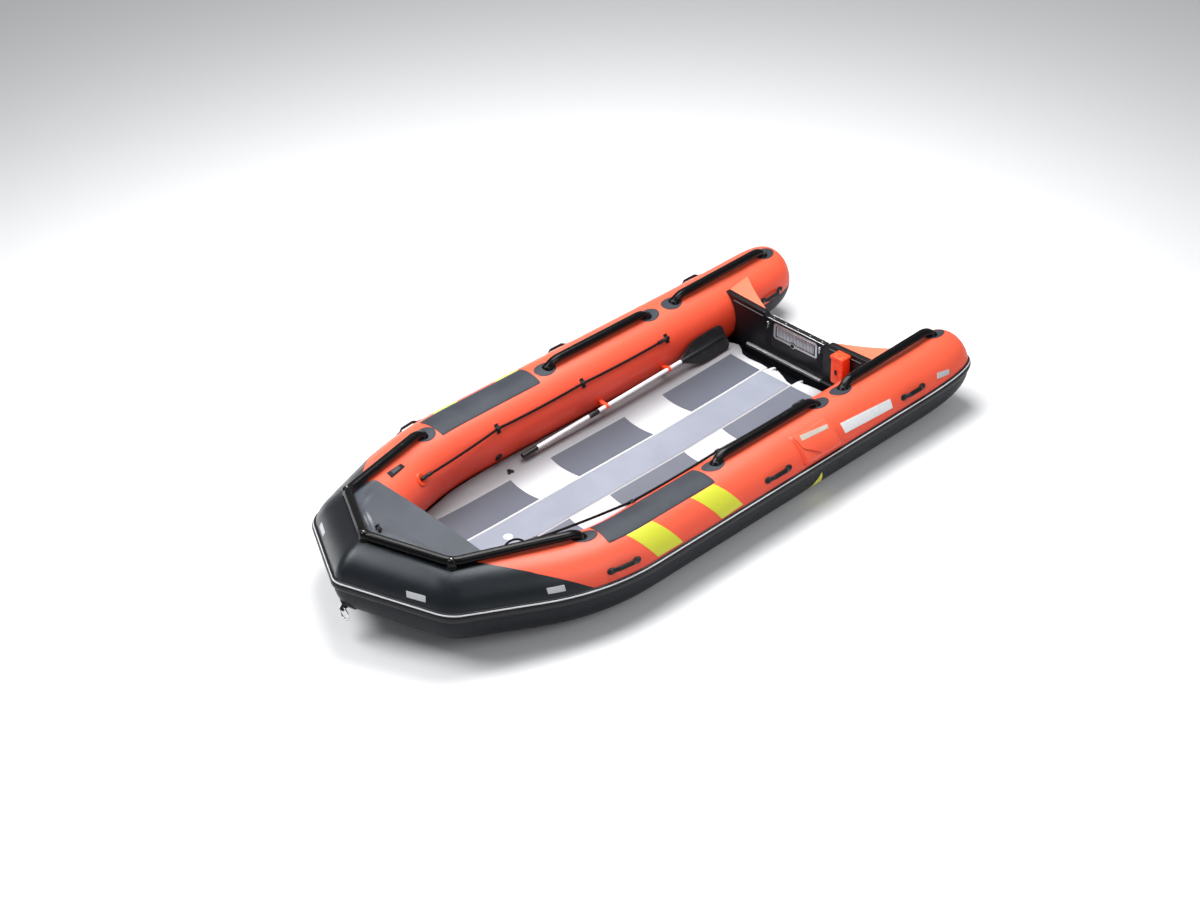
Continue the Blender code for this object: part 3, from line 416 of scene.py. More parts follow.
# Black fabric makes the bow: a panel a side forward of the slanting seam and a nose panel
# from each knuckle to the tip, glued over the orange, with the mitres covered by seam tape.
BLACK_COLOURS = ((0.0040, 0.0052, 0.0080), (0.0030, 0.0038, 0.0060))
BOW_PROUD = 0.0014
BOW_TURNS = np.linspace(4.0, LOWER_SEAM_TURN + 1.0, 72)
SEAM_LAP = 0.012
KNUCKLE_ROWS = (-0.40, -0.34, -0.28, -0.22, -0.17, -0.125, -0.10, -0.082, -0.066, -0.052, -0.040, -0.030,
                -0.022, -0.015, -0.008, 0.0, 0.004, 0.009, 0.014, 0.020, 0.026, 0.033, 0.041, 0.060,
                0.085, 0.112, 0.140, 0.168, 0.190, 0.2035, 0.209, 0.2145, 0.2195, 0.2240, 0.2270, 0.229)
TAPE_REACH = np.array((0.0120, 0.0085, 0.0055, 0.0025, 0.0))
TAPE_LIFT = 0.0024
WELT_HALF = 0.0035
WELT_LIFT = 0.0022
WELT_CROWN = 0.0007
WELT_TURNS = np.linspace(16.0, 150.0, 60)

black_fabric = coated_fabric("black_fabric", *BLACK_COLOURS, 0.33, 0.10, 0.40)
ahead_x = KNUCKLE[0] + np.array(KNUCKLE_ROWS)


def bow_grid(turns, start):
    """Places along the bow from a start for each turn to the tip, close together at the mitres."""
    grid = np.repeat(ahead_x[:, None], len(turns), 1)
    late = start > grid[0]
    steps = np.linspace(0, 1, 12)[:-1, None]
    first = np.where(late, start + (steps - 1) * 0.006, start + steps * (grid[0] - start))
    stretched = start + (KNUCKLE[0] - start) * ((grid - grid[0]) / (KNUCKLE[0] - grid[0]))
    return np.concatenate([first, np.where(late & (grid < KNUCKLE[0]), stretched, grid)])


bow_places = bow_grid(BOW_TURNS, seam_x(BOW_TURNS) - SEAM_LAP)
welt = np.linspace(-1, 1, 5)[:, None]
for side, hand in SIDES:
    skin(f"bow_skin_{hand}", bow_places, BOW_TURNS, BOW_PROUD, side, black_fabric, "black_fabric",
         f"bow_panel_{hand}", f"nose_panel_{hand}")
    skin(f"knuckle_seam_{hand}", KNUCKLE[0] + WELT_HALF * welt, WELT_TURNS, WELT_LIFT - WELT_CROWN * welt ** 2,
         side, black_fabric, "black_fabric")
tape_turns = np.linspace(16.0, LOWER_SEAM_TURN, 80)
tape_sides = []
for lift in (TAPE_LIFT, 0.0):
    port_tape = hull((TIP[0] - TAPE_REACH)[:, None], tape_turns, lift)
    tape_sides.append(np.concatenate([port_tape, port_tape[-2::-1] * MIRROR]))
build("tip_seam_tape", [shell(*tape_sides)], black_fabric, "black_fabric",
      cloth=np.stack(np.meshgrid(tape_turns * DEGREE, np.arange(len(tape_sides[0])) * 0.004), -1))

# The underside is one black panel a side, with a patch over the lower inboard half of the
# tail behind the transom, and the bottom fabric glued in between the two tubes and the nose.
UNDER_TURNS = np.linspace(LOWER_SEAM_TURN - 1.5, 366.0, 60)
UNDER_LAP = 0.0006
TAIL_TURNS = np.linspace(183.0, LOWER_SEAM_TURN + 1.0, 24)
TAIL_PATCH_X = -1.718
TAIL_PROUD = 0.0010
NOSE_PATCH_X = (1.930, 2.042)
NOSE_PATCH_TURNS = (238.0, 262.0)
NOSE_PATCH_SINK = -0.004
NOSE_PATCH_KEEL = (1.860, 0.0, 0.0760)

under_fabric = coated_fabric("under_fabric", *BLACK_COLOURS, 0.50, 0.0, 0.22)
all_x = np.concatenate([side_x, np.linspace(STRETCH_FROM_X, ahead_x[0], 30)[1:-1], ahead_x])
tail_places = np.append(side_x[side_x < TAIL_PATCH_X], TAIL_PATCH_X)


def dress(node, finish):
    """Give its finish to a solid of the frame that shows as it is."""
    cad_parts[node].data.materials.clear()
    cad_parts[node].data.materials.append(finish)


for side, hand in SIDES:
    skin(f"under_skin_{hand}", all_x[:, None], UNDER_TURNS, UNDER_LAP, side, under_fabric, "black_fabric",
         f"lower_panel_{hand}")
    skin(f"tail_patch_{hand}", tail_places[:, None], TAIL_TURNS, TAIL_PROUD, side, under_fabric, "black_fabric")
dress("bottom_fabric", under_fabric)
patch_edge = hull(np.linspace(*NOSE_PATCH_X, 14), np.linspace(*NOSE_PATCH_TURNS, 14), NOSE_PATCH_SINK)
patch_keel = np.linspace(NOSE_PATCH_KEEL, patch_edge[-1], 14)
port_half = patch_edge[:, None] + (patch_keel - patch_edge)[:, None] * np.linspace(0, 1, 8)[None, :, None]
nose_patch = np.concatenate([port_half, port_half[:, -2::-1] * MIRROR], 1)
build("bottom_nose", [shell(nose_patch, nose_patch + (0, 0, SKIN_THICK))], under_fabric,
      "black_fabric", cloth=nose_patch[..., :2])

# A rubbing strake of extruded rubber runs all round the outside, from tail to tip, with a
# rounded back and a thin silver line set into its upper shoulder.
STRAKE_PROFILE = ((1.5, 0.0), (1.9, 0.007), (2.8, 0.0115), (4.2, 0.0155), (6.4, 0.0188), (9.0, 0.0200),
                  (11.2, 0.0182), (12.2, 0.0160), (12.6, 0.0140), (14.4, 0.0128), (14.9, 0.0118),
                  (16.0, 0.0080), (16.5, 0.0))
STRAKE_LOW = 0.0003
LINE_PROFILE = ((12.5, 0.0140), (12.8, 0.0158), (13.5, 0.0154), (14.2, 0.0146), (14.5, 0.0125))
LINE_LOW = 0.0095
TAPER = 1.6


def moulded(name, colour, worn, roughness, grain_height=0.0004, gloss=0.5):
    """Moulded rubber or plastic: an even colour, paler where it is rubbed, and a fine skin."""
    made, shader, place, _ = start_finish(name, {"Specular IOR Level": gloss})
    rub = place.noise(22.0, 4.0, 0.8).ramp(0.50, 0.80)
    grain = place.noise(260.0, 3.0)
    feed(shader, base_color=rub.blend((*colour, 1.0), (*worn, 1.0)),
         roughness=grain * 0.12 + rub * 0.10 + (roughness - 0.08), normal=grain.bump(grain_height))
    return made


strake_rubber = moulded("strake_rubber", (0.006, 0.006, 0.008), (0.012, 0.012, 0.014), 0.46, gloss=0.3)
silver_line = moulded("silver_line", (0.62, 0.63, 0.65), (0.52, 0.53, 0.55), 0.34, 0.0001)
thinner = np.minimum(1.0, np.interp(all_x, PATH[:, 0], PATH[:, 5]) / TUBE_RADIUS * TAPER)[:, None]
for side, hand in SIDES:
    turns, lift = np.transpose(STRAKE_PROFILE)
    skin(f"strake_{hand}", all_x[:, None], turns, lift * thinner, side, strake_rubber, "black_rubber",
         f"rubbing_strake_{hand}", low=STRAKE_LOW)
    turns, lift = np.transpose(LINE_PROFILE)
    skin(f"strake_line_{hand}", all_x[:, None], turns, lift * thinner, side, silver_line, "black_rubber",
         low=LINE_LOW)

# The air deck is three inflated panels with white coated faces, side by side between the
# tubes: grey grip sheets are bonded to them, and the outer two turn up against the tubes.
DECK_MIDDLE = 0.1325
DECK_GROOVE = 0.003
DECK_HALF = 0.606
DECK_FRONT_X = 1.42
DECK_ROWS = np.array((
    # x, half width, height of the top, rise of the outer edge
    (-1.575, 0.600, 0.119, 0.030), (-1.10, 0.608, 0.098, 0.034), (-0.45, 0.617, 0.080, 0.036),
    (0.66, 0.617, 0.080, 0.036), (0.98, 0.596, 0.079, 0.034), (1.26, 0.528, 0.084, 0.028),
    (DECK_FRONT_X, 0.472, 0.092, 0.022)))
TURN_UP_FROM = 0.17
TURN_UP_POWER = 3.0
DECK_EDGE_ROUND = 0.012
DECK_DEPTH = 0.040
STERN_EDGE = np.array((
    # y, x: a wavy lobe a panel, with a small square tab at each groove
    (-DECK_HALF, -1.500), (-0.569, -1.540), (-0.520, -1.582), (-0.479, -1.597), (-0.430, -1.572),
    (-0.387, -1.537), (-0.319, -1.529), (-0.204, -1.538), (-0.133, -1.533), (-0.1324, -1.500), (-0.122, -1.530),
    (-0.112, -1.533), (-0.110, -1.571), (-0.088, -1.571), (-0.086, -1.537), (-0.055, -1.552), (0.010, -1.530),
    (0.079, -1.499), (0.1324, -1.491), (0.133, -1.500), (0.146, -1.545), (0.148, -1.582), (0.158, -1.582),
    (0.160, -1.550), (0.220, -1.562), (0.299, -1.570), (0.440, -1.570), (0.540, -1.548), (DECK_HALF, -1.500)))
GRIP_SHEETS = ((0.62, 1.60), (-0.41, 0.27), (-1.468, -0.77))
GRIP_ACROSS = (0.146, 0.432)
GRIP_BOW = 0.77
# Grip colours: starboard outboard, starboard, middle and port. It is one grip sheet, and the differences are
# painted shade from how the light falls.
GRIP_COLOURS = ((0.046, 0.050, 0.068, 1), (0.098, 0.108, 0.142, 1), (0.275, 0.300, 0.365, 1),
                (0.135, 0.148, 0.188, 1))
GRIP_WORN = (0.05, 0.055, 0.07, 1)
# Deck colours: the white cloth, a painted shade that the outboard parts turn to near the tubes, and stains.
DECK_COLOURS = ((0.62, 0.63, 0.65, 1), (0.165, 0.161, 0.170, 1), (0.50, 0.51, 0.54, 1))


def deck_top(x, y):
    """Height of the deck: flat in the middle, and turned up towards the tubes."""
    half, top, rise = (np.interp(x, DECK_ROWS[:, 0], DECK_ROWS[:, k]) for k in (1, 2, 3))
    turned_up = np.clip((np.abs(y) - TURN_UP_FROM) / (half - TURN_UP_FROM), 0, 1)
    return top + rise * turned_up ** TURN_UP_POWER


deck_cloth, shader, place, _ = start_finish("deck_cloth", {"Coat Weight": 0.0})
deck_x, deck_y = place.parts()[:2]
off_middle = abs(deck_y)
bowed = deck_x + (off_middle - 0.29) * (off_middle - 0.29) * GRIP_BOW
grip = (off_middle < DECK_MIDDLE - 0.004) * (deck_x > GRIP_SHEETS[2][0])
on_outer = (off_middle > GRIP_ACROSS[0]) * (off_middle < GRIP_ACROSS[1])
for aft, fore in GRIP_SHEETS:
    aft_edge = deck_x if aft == GRIP_SHEETS[2][0] else bowed
    grip = grip + on_outer * (aft_edge > aft) * (bowed < fore)
ribs = place.bands(0.0080, "Y")
worn = place.noise(3.1, 4.0, 0.4)
stain = place.noise(28.0, 5.0, 1.0).ramp(0.60, 0.85)
# Painted shade: the grip darkens to starboard and outboard towards the starboard tube, and the port sheets are
# painted a little darker than the middle.
grip_colour = deck_y.ramp(-0.46, -0.15).blend(*GRIP_COLOURS[:2])
grip_colour = deck_y.ramp(-0.14, -0.13).blend(grip_colour, GRIP_COLOURS[2])
grip_colour = deck_y.ramp(0.13, 0.14).blend(grip_colour, GRIP_COLOURS[3])
grip_colour = (worn.ramp(0.32, 0.68) * 0.12 + ribs * 0.12).blend(grip_colour, GRIP_WORN)
# Painted shade: the white darkens outboard, where the tubes shade the deck, with stains mottled over it.
white = (stain * 0.25).blend(off_middle.ramp(0.18, 0.50).blend(*DECK_COLOURS[:2]), DECK_COLOURS[2])
feed(shader, base_color=grip.blend(white, grip_colour), roughness=grip * 0.16 + worn * 0.10 + 0.38,
     normal=(grip * (ribs * 0.5 + 0.5) + place.noise(320.0) * 0.15).bump(0.0012))
rim = np.array((0.0, 0.0006, 0.0020, 0.0042, 0.0074, 0.012))
middle_across = np.concatenate([rim - DECK_MIDDLE, np.linspace(-0.118, 0.118, 41), (DECK_MIDDLE - rim)[::-1]])
outer_across = np.concatenate([DECK_MIDDLE + DECK_GROOVE + rim, np.linspace(0.150, 0.592, 66),
                               DECK_HALF - rim[::-1]])
for place, across in (("middle", middle_across), ("port", outer_across), ("starboard", -outer_across)):
    aft = np.interp(across, STERN_EDGE[:, 0], STERN_EDGE[:, 1])
    x = aft + np.linspace(0, 1, 90)[:, None] * (DECK_FRONT_X - aft)
    y = np.repeat(across[None], len(x), 0)
    if place != "middle":
        half = np.interp(x, DECK_ROWS[:, 0], DECK_ROWS[:, 1])
        inner, outer = np.min(np.abs(across)), np.max(np.abs(across))
        y = np.sign(y) * (inner + (np.abs(y) - inner) * (half - inner) / (outer - inner))
    near = np.minimum(np.minimum(np.abs(y - y[:, :1]), np.abs(y - y[:, -1:])), x - aft)
    drop = np.clip(1 - near / DECK_EDGE_ROUND, 0, 0.999)
    z = deck_top(x, y) - DECK_EDGE_ROUND * (1 - np.sqrt(1 - drop ** 2))
    top = np.stack([x, y, z], -1)
    build(f"deck_{place}", [shell(top, top - (0, 0, DECK_DEPTH))], deck_cloth, "deck_fabric",
          f"deck_panel_{place}", crease=60.0)

# The transom is a board of marine plywood under black paint, its edges rounded over and its
# ends bonded into the tubes, with a low middle between two ears for an outboard motor.
UP = (0.0, 0.0, 1.0)
FORWARD = (1.0, 0.0, 0.0)
AXIS = 0.0001
BOARD_FRONT_X = -1.670
BOARD_THICK = 0.045
BOARD_AFT_X = BOARD_FRONT_X - BOARD_THICK
BOARD_ROUND = 0.007
BOARD_FOOT_TURN = 238.7
BOARD_KEEL_Z = 0.022
EAR_OUTER_Z = 0.446
EAR_INNER_Z = 0.432
EAR_TURN = 127.0
NOTCH_Z = 0.404
NOTCH_HALF = 0.300
NOTCH_SLOPE = 0.022
NOTCH_CORNER = 0.030
BOARD_COLOURS = ((0.0045, 0.0045, 0.0058, 1), (0.014, 0.014, 0.017, 1))
PIPING_RADIUS = 0.0030
PIPING_DROP = 0.034
PIPING_ENDS = ((NOTCH_HALF + 0.012, EAR_INNER_Z), (0.60, EAR_OUTER_Z - 0.004))


def rounded(points, radius, steps=6):
    """An open path with its inner corners rounded."""
    points = [np.asarray(point, float) for point in points]
    path = [points[:1]]
    for a, b, c in zip(points[:-2], points[1:-1], points[2:]):
        reach = min(radius, np.linalg.norm(b - a) / 2.1, np.linalg.norm(c - b) / 2.1)
        path.append(curve(b + unit(a - b) * reach, b, b + unit(c - b) * reach, steps))
    return np.concatenate(path + [points[-1:]])


def bar_faces(rows, sides, closed=False):
    """Faces round a bar of rows of points, with a cap at either end unless its ends meet."""
    index = np.arange(rows * sides).reshape(rows, sides)
    low, high = (index, np.roll(index, -1, 0)) if closed else (index[:-1], index[1:])
    quads = np.stack([low, np.roll(low, -1, 1), np.roll(high, -1, 1), high], -1).reshape(-1, 4).tolist()
    return quads if closed else quads + [index[0, ::-1].tolist(), index[-1].tolist()]


def turned(profile, place, axis, sides=24):
    """A turned form: radii and heights about an axis from a place."""
    axis = unit(axis)
    first = unit(np.cross(axis, UP if abs(axis[2]) < 0.9 else FORWARD))
    angle = np.arange(sides)[:, None] * 2 * math.pi / sides
    ring = np.cos(angle) * first + np.sin(angle) * np.cross(axis, first)
    return np.concatenate([place + axis * h + ring * r for r, h in profile]), bar_faces(len(profile), sides)


def rod(start, stop, radius):
    """A thin round bar between two points."""
    length = math.dist(start, stop)
    return turned([(AXIS, 0.0), (radius, 0.001), (radius, length - 0.001), (AXIS, length)], np.array(start),
                  np.subtract(stop, start), 10)


def facing_bow(x, y=0.0):
    """Maps (across, up, out) to the boat, with out towards the bow from x."""
    return Matrix(((0, 0, 1, x), (1, 0, 0, y), (0, 1, 0, 0), (0, 0, 0, 1)))


def board(name, outline, thick, edge, place, finish, slot, *nodes, steps=3):
    """A plate of a closed outline (across, up), with rounded edges; place maps (across, up, out)."""
    shape = bmesh.new()
    face = shape.faces.new([shape.verts.new((a, b, 0.0)) for a, b in outline])
    made = bmesh.ops.extrude_face_region(shape, geom=[face])
    top = [v for v in made["geom"] if isinstance(v, bmesh.types.BMVert)]
    bmesh.ops.translate(shape, verts=top, vec=(0, 0, thick))
    bmesh.ops.recalc_face_normals(shape, faces=shape.faces)
    rims = [e for e in shape.edges if len({v.co.z for v in e.verts}) == 1]
    bmesh.ops.bevel(shape, geom=rims, offset=edge, segments=steps, profile=0.5, affect="EDGES",
                    clamp_overlap=True)
    shape.transform(place)
    shape.verts.index_update()
    part = ([v.co[:] for v in shape.verts], [[v.index for v in f.verts] for f in shape.faces])
    shape.free()
    return build(name, [part], finish, slot, *nodes)


# Long faint grain shows through the satin paint, which is rubbed in patches.
board_paint, shader, place, _ = start_finish("painted_board", {"Specular IOR Level": 0.35})
fibre = place.node("Mapping", {}, {"Vector": place, "Scale": (6.0, 3.0, 60.0)}).noise(2.2, 5.0, 0.6)
scuff = place.noise(17.0, 6.0, 1.8).ramp(0.58, 0.80)
feed(shader, base_color=(scuff * 0.5 + fibre * 0.2).blend(*BOARD_COLOURS),
     roughness=fibre * 0.12 + scuff * 0.18 + 0.26, normal=(fibre + scuff * 0.2).bump(0.0006))
piping_grey = moulded("piping_grey", (0.10, 0.10, 0.11), (0.14, 0.14, 0.15), 0.45)

slope_foot = NOTCH_HALF - NOTCH_SLOPE
half_outline = np.concatenate([
    rounded([(slope_foot - 0.06, NOTCH_Z), (slope_foot, NOTCH_Z), (NOTCH_HALF, EAR_INNER_Z),
             (NOTCH_HALF + 0.05, EAR_INNER_Z + 0.001)], NOTCH_CORNER),
    hull(BOARD_FRONT_X, np.linspace(EAR_TURN, BOARD_FOOT_TURN, 40), 0.0008)[:, 1:]])
outline = np.concatenate([half_outline, [(0.0, BOARD_KEEL_Z)], half_outline[::-1] * (-1, 1)])
board("transom", outline, BOARD_THICK, BOARD_ROUND, facing_bow(BOARD_AFT_X), board_paint, "black_board",
      "transom_board")
piping = []
for side, _ in SIDES:
    start, stop = ((BOARD_FRONT_X + PIPING_RADIUS / 2, side * y, z - PIPING_DROP) for y, z in PIPING_ENDS)
    piping.append(rod(start, stop, PIPING_RADIUS))
build("ear_piping", piping, piping_grey, "black_board")

# A folded black strip between two thin bright edges caps the notch, screwed down from above,
# and ribbed plates on both faces take the motor's clamps; two latches hold the inner one.
SEAT_GAP = 0.0004
CAP_THICK = 0.0035
CAP_LIP = 0.020
CAP_HALF = 0.262
CAP_EDGE = 0.0032
CAP_LOW_Z = NOTCH_Z + 0.0006
CAP_TOP_Z = CAP_LOW_Z + CAP_THICK
CAP_SCREWS = (-0.225, -0.115, 0.0, 0.115, 0.225)
SCREW_DOME = ((0.86, 0.30), (0.5, 0.42), (0.34, 0.42), (0.20, 0.16))
PLATE_HALF = 0.205
PLATE_TOP_Z = 0.391
PLATE_INNER_HEIGHT = 0.124
PLATE_OUTER_HEIGHT = 0.198
PLATE_THICK = 0.0055
PLATE_BORDER = 0.018
PLATE_CORNER = 0.022
BORDER_SHAPE = np.array(((1, -1), (1, 0.4), (0.8, 1), (-0.8, 1), (-1, 0.4), (-1, -1)))
BORDER_HEIGHT = 0.0018
RIB_START_Y = -PLATE_HALF + PLATE_BORDER + 0.012
RIB_COUNT = 26
RIB_PROUD = 0.0022
RIB_SECTION = ((0.0, -0.32), (0.6, -0.26), (1.0, -0.10), (1.0, 0.10), (0.6, 0.26), (0.0, 0.32))
DOT_INSET = (0.030, 0.024)
HOLE_RADIUS = 0.016
HOLE_Y = -0.023
PLUG_PROFILE = ((HOLE_RADIUS, -0.001), (HOLE_RADIUS, 0.0042), (HOLE_RADIUS * 0.8, 0.0052), (AXIS, 0.0052))
SOCKET_PROFILE = ((HOLE_RADIUS + 0.001, -0.001), (HOLE_RADIUS + 0.006, -0.001), (HOLE_RADIUS + 0.006, 0.002),
                  (HOLE_RADIUS + 0.001, 0.0028))


def metal(name, colour, roughness, brush):
    """Metal with fine brushing along the boat's width and dull cloudy patches."""
    made, shader, place, _ = start_finish(name, {"Metallic": 1.0})
    streak = place.node("Mapping", {}, {"Vector": place, "Scale": (260.0, 9.0, 260.0)}).noise(1.0, 3.0)
    haze = place.noise(18.0, 4.0)
    dull = [c * 0.82 for c in colour]
    feed(shader, base_color=(haze.ramp(0.3, 0.7) * 0.6 + streak * 0.4).blend((*dull, 1.0), (*colour, 1.0)),
         roughness=streak * brush + haze * 0.10 + (roughness - brush / 2 - 0.05), normal=streak.bump(0.0002))
    return made


aluminium = metal("aluminium", (0.78, 0.79, 0.81), 0.30, 0.14)
worn_aluminium = metal("worn_aluminium", (0.36, 0.37, 0.39), 0.42, 0.14)
steel = metal("polished_steel", (0.70, 0.70, 0.70), 0.18, 0.05)
dark_field = moulded("dark_field", (0.060, 0.062, 0.068), (0.10, 0.10, 0.11), 0.40)
cap_sides = []
for gap, top_z, corner in ((CAP_THICK, CAP_TOP_Z, 0.006), (SEAT_GAP, CAP_LOW_Z, 0.003)):
    line = rounded([(BOARD_AFT_X - gap, CAP_LOW_Z - CAP_LIP), (BOARD_AFT_X - gap, top_z),
                    (BOARD_FRONT_X + gap, top_z), (BOARD_FRONT_X + gap, CAP_LOW_Z - CAP_LIP)], corner)
    cap_sides.append(np.array([[(x, y, z) for x, z in line]
                               for y in (-CAP_HALF, -CAP_HALF + 0.001, CAP_HALF - 0.001, CAP_HALF)]))
build("notch_trim", [shell(*cap_sides)], strake_rubber, "aluminium", "notch_cap", crease=30.0)
build("notch_edges", [rod((x, -CAP_HALF, CAP_TOP_Z), (x, CAP_HALF, CAP_TOP_Z), CAP_EDGE)
                      for x in (BOARD_AFT_X - CAP_THICK + CAP_EDGE, BOARD_FRONT_X + CAP_THICK - CAP_EDGE)],
      aluminium, "aluminium")


def screw(place, axis, radius):
    """A domed screw head with a sunk middle."""
    dome = [(radius * r, radius * h) for r, h in SCREW_DOME]
    return turned([(radius, -0.0005), (radius, 0.0004), *dome], place, axis, 16)


cap_middle_x = (BOARD_AFT_X + BOARD_FRONT_X) / 2
build("notch_screws", [screw((cap_middle_x, y, CAP_TOP_Z), UP, 0.0052) for y in CAP_SCREWS], steel, "aluminium")


def tops_along(ways, up=None):
    """A direction square to each way: nearest to up, or carried on from the one before."""
    tops = []
    for way in ways:
        if up is not None or not tops:
            top = np.array(UP if up is None else up)
            if abs(top @ way) >= 0.95:
                top = np.array((1.0, 0.3, 0.0))
        top = unit(top - way * (top @ way))
        tops.append(top)
    return np.array(tops)


def sweep(path, section, up=None, closed=False):
    """A bar along a path with a section of (across, up) places."""
    path = np.asarray(path, float)
    ahead = np.roll(path, -1, 0) - path
    behind = path - np.roll(path, 1, 0)
    if not closed:
        ahead[-1] = behind[-1]
        behind[0] = ahead[0]
    ways = unit(unit(ahead) + unit(behind))
    tops = tops_along(ways, up)
    points = path[:, None] + section[:, :1] * np.cross(ways, tops)[:, None] + section[:, 1:] * tops[:, None]
    return points.reshape(-1, 3), bar_faces(len(path), len(section), closed)


def round_box(half_wide, low, high, corner):
    """A closed outline (across, up) with rounded corners."""
    wide = half_wide - corner
    points = []
    for start, across, up in ((0, wide, high - corner), (90, -wide, high - corner), (180, -wide, low + corner),
                              (270, wide, low + corner)):
        for angle in np.radians(start + np.arange(0, 91, 15)):
            points.append((across + corner * math.cos(angle), up + corner * math.sin(angle)))
    return points


def backed(rows, x):
    """A closed part between a grid of points and the upright plane behind it at x."""
    back = rows.copy()
    back[..., 0] = x
    return shell(rows, back)


def clamp_plate(name, height, sign, node):
    """A clamp plate: a dark field with upright ribs in a bright border, the inner one with a socket."""
    inner = sign > 0
    face = BOARD_FRONT_X + SEAT_GAP if inner else BOARD_AFT_X - SEAT_GAP - PLATE_THICK
    front = face + PLATE_THICK if inner else face
    low = PLATE_TOP_Z - height
    board(name, round_box(PLATE_HALF, low, PLATE_TOP_Z, PLATE_CORNER), PLATE_THICK, 0.0015, facing_bow(face),
          dark_field, "grey_plate", node)
    half = PLATE_BORDER / 2
    loop = round_box(PLATE_HALF - half, low + half, PLATE_TOP_Z - half, PLATE_CORNER - half)
    parts = [sweep([(front, y, z) for y, z in loop], BORDER_SHAPE * (half, BORDER_HEIGHT), FORWARD, closed=True)]
    pitch = -2 * RIB_START_Y / RIB_COUNT
    for y in RIB_START_Y + pitch * (np.arange(RIB_COUNT) + 0.5):
        over_hole = inner and abs(y - HOLE_Y) < HOLE_RADIUS * 1.3
        foot = low + PLATE_BORDER + (HOLE_RADIUS * 1.2 if over_hole else 0.008)
        rows = np.array([[(front + sign * RIB_PROUD * h * rise, y + pitch * a, z) for h, a in RIB_SECTION]
                         for z, rise in ((foot, 0.1), (foot + 0.003, 1.0), (PLATE_TOP_Z - 0.025, 1.0),
                                         (PLATE_TOP_Z - 0.022, 0.1))])
        parts.append(backed(rows, front - sign * 0.001))
    build(name + "_ribs", parts, aluminium, "grey_plate")
    dots = [screw((front, end * (PLATE_HALF - DOT_INSET[0]), low + DOT_INSET[1]), (sign, 0, 0), 0.0075)
            for end in (-1, 1)]
    if inner:
        hole = (front, HOLE_Y, low + 0.008)
        dots.append(turned(PLUG_PROFILE, hole, FORWARD, 28))
        build(name + "_ring", [turned(SOCKET_PROFILE, hole, FORWARD, 28)], aluminium, "grey_plate")
    build(name + "_dots", dots, strake_rubber, "grey_plate")


clamp_plate("clamp_plate_inner", PLATE_INNER_HEIGHT, 1, "motor_plate_inner")
clamp_plate("clamp_plate_outer", PLATE_OUTER_HEIGHT, -1, "motor_plate_outer")

# Two small over-centre latches hold the inner plate, each on a black webbing strap that
# runs down to the foot of the board, where a black bar with a worn aluminium face lies.
LATCH_Y = (-0.262, 0.226)
LATCH_Z = 0.346
LATCH_X = BOARD_FRONT_X + 0.0006
LATCH_BUTTON = ((AXIS, 0.0), (0.0135, 0.0), (0.0135, 0.005), (0.0100, 0.009), (AXIS, 0.009))
LATCH_LEVERS = (
    # foot and head from the latch's middle, half width, depth
    (-0.012, 0.014, 0.0070, 0.0075), (-0.024, -0.012, 0.0050, 0.010))
LEVER_SECTION = ((0.3, -1), (1, -0.7), (1.1, 0), (1, 0.7), (0.3, 1))
STRAP_HALF = 0.025
STRAP_FOOT_Z = 0.190
BAR_HALF = 0.455
BAR_X = BOARD_FRONT_X + SEAT_GAP
BAR_Z = 0.112
BAR_SIZE = 0.026
BAR_SILVER = (-0.450, -0.440, 0.245, 0.255)
BAR_STRIP = ((0.004, 0.0155), (0.012, 0.0152), (0.0265, 0.0105), (0.0285, -0.004))

webbing = coated_fabric("black_webbing", (0.005, 0.005, 0.006), (0.003, 0.003, 0.004), 0.62, 0.0, 0.3)
latches = []
straps = []
for y in LATCH_Y:
    latches.append(turned(LATCH_BUTTON, (LATCH_X, y, LATCH_Z + 0.020), FORWARD, 20))
    for low, high, half, deep in LATCH_LEVERS:
        rows = np.array([[(LATCH_X + deep * a, y + half * b, LATCH_Z + z) for a, b in LEVER_SECTION]
                         for z in (low, low + 0.002, high - 0.002, high)])
        latches.append(backed(rows, LATCH_X))
    rows = np.array([[(LATCH_X + 0.0030 + 0.0016 * math.sin((z - STRAP_FOOT_Z) * 60) - 0.002 * b ** 4,
                       y + STRAP_HALF * b, z) for b in np.linspace(-1, 1, 8)]
                     for z in np.linspace(STRAP_FOOT_Z, LATCH_Z - 0.022, 24)])
    straps.append(backed(rows, LATCH_X))
build("plate_latches", latches, steel, "aluminium")
build("latch_straps", straps, webbing, "black_fabric")
bar_line = rounded([(BAR_X, BAR_Z - BAR_SIZE / 2), (BAR_X + BAR_SIZE, BAR_Z - BAR_SIZE / 2),
                    (BAR_X + BAR_SIZE, BAR_Z + BAR_SIZE / 3), (BAR_X + BAR_SIZE / 2, BAR_Z + BAR_SIZE / 2),
                    (BAR_X, BAR_Z + BAR_SIZE / 2)], 0.005)
lengthwise = Matrix(((1, 0, 0, 0), (0, 0, 1, -BAR_HALF), (0, 1, 0, 0), (0, 0, 0, 1)))
board("deck_end_bar", bar_line, BAR_HALF * 2, 0.001, lengthwise, strake_rubber, "aluminium", "deck_bar",
      steps=1)
strip = np.array([[(BAR_X + x, y, BAR_Z + z) for x, z in BAR_STRIP] for y in BAR_SILVER])
build("bar_strip", [shell(strip, strip - (0.002, 0.0, 0.003))], worn_aluminium, "aluminium", crease=30.0)

# An orange moulded box for small gear is screwed to the transom on the port side, with a
# lid that overlaps its body and a black catch.
BOX_DEEP = 0.090
BOX_HALF = 0.0575
BOX_Y = 0.450
BOX_Z = 0.205
BOX_TOP_Z = 0.430
LID_Z = 0.400
LID_GAP = 0.0015
LID_OVERLAP = 0.004
BOX_CORNER = 0.014
CATCH_BOX = (0.007, BOX_Z + 0.085, BOX_Z + 0.125, 0.003)

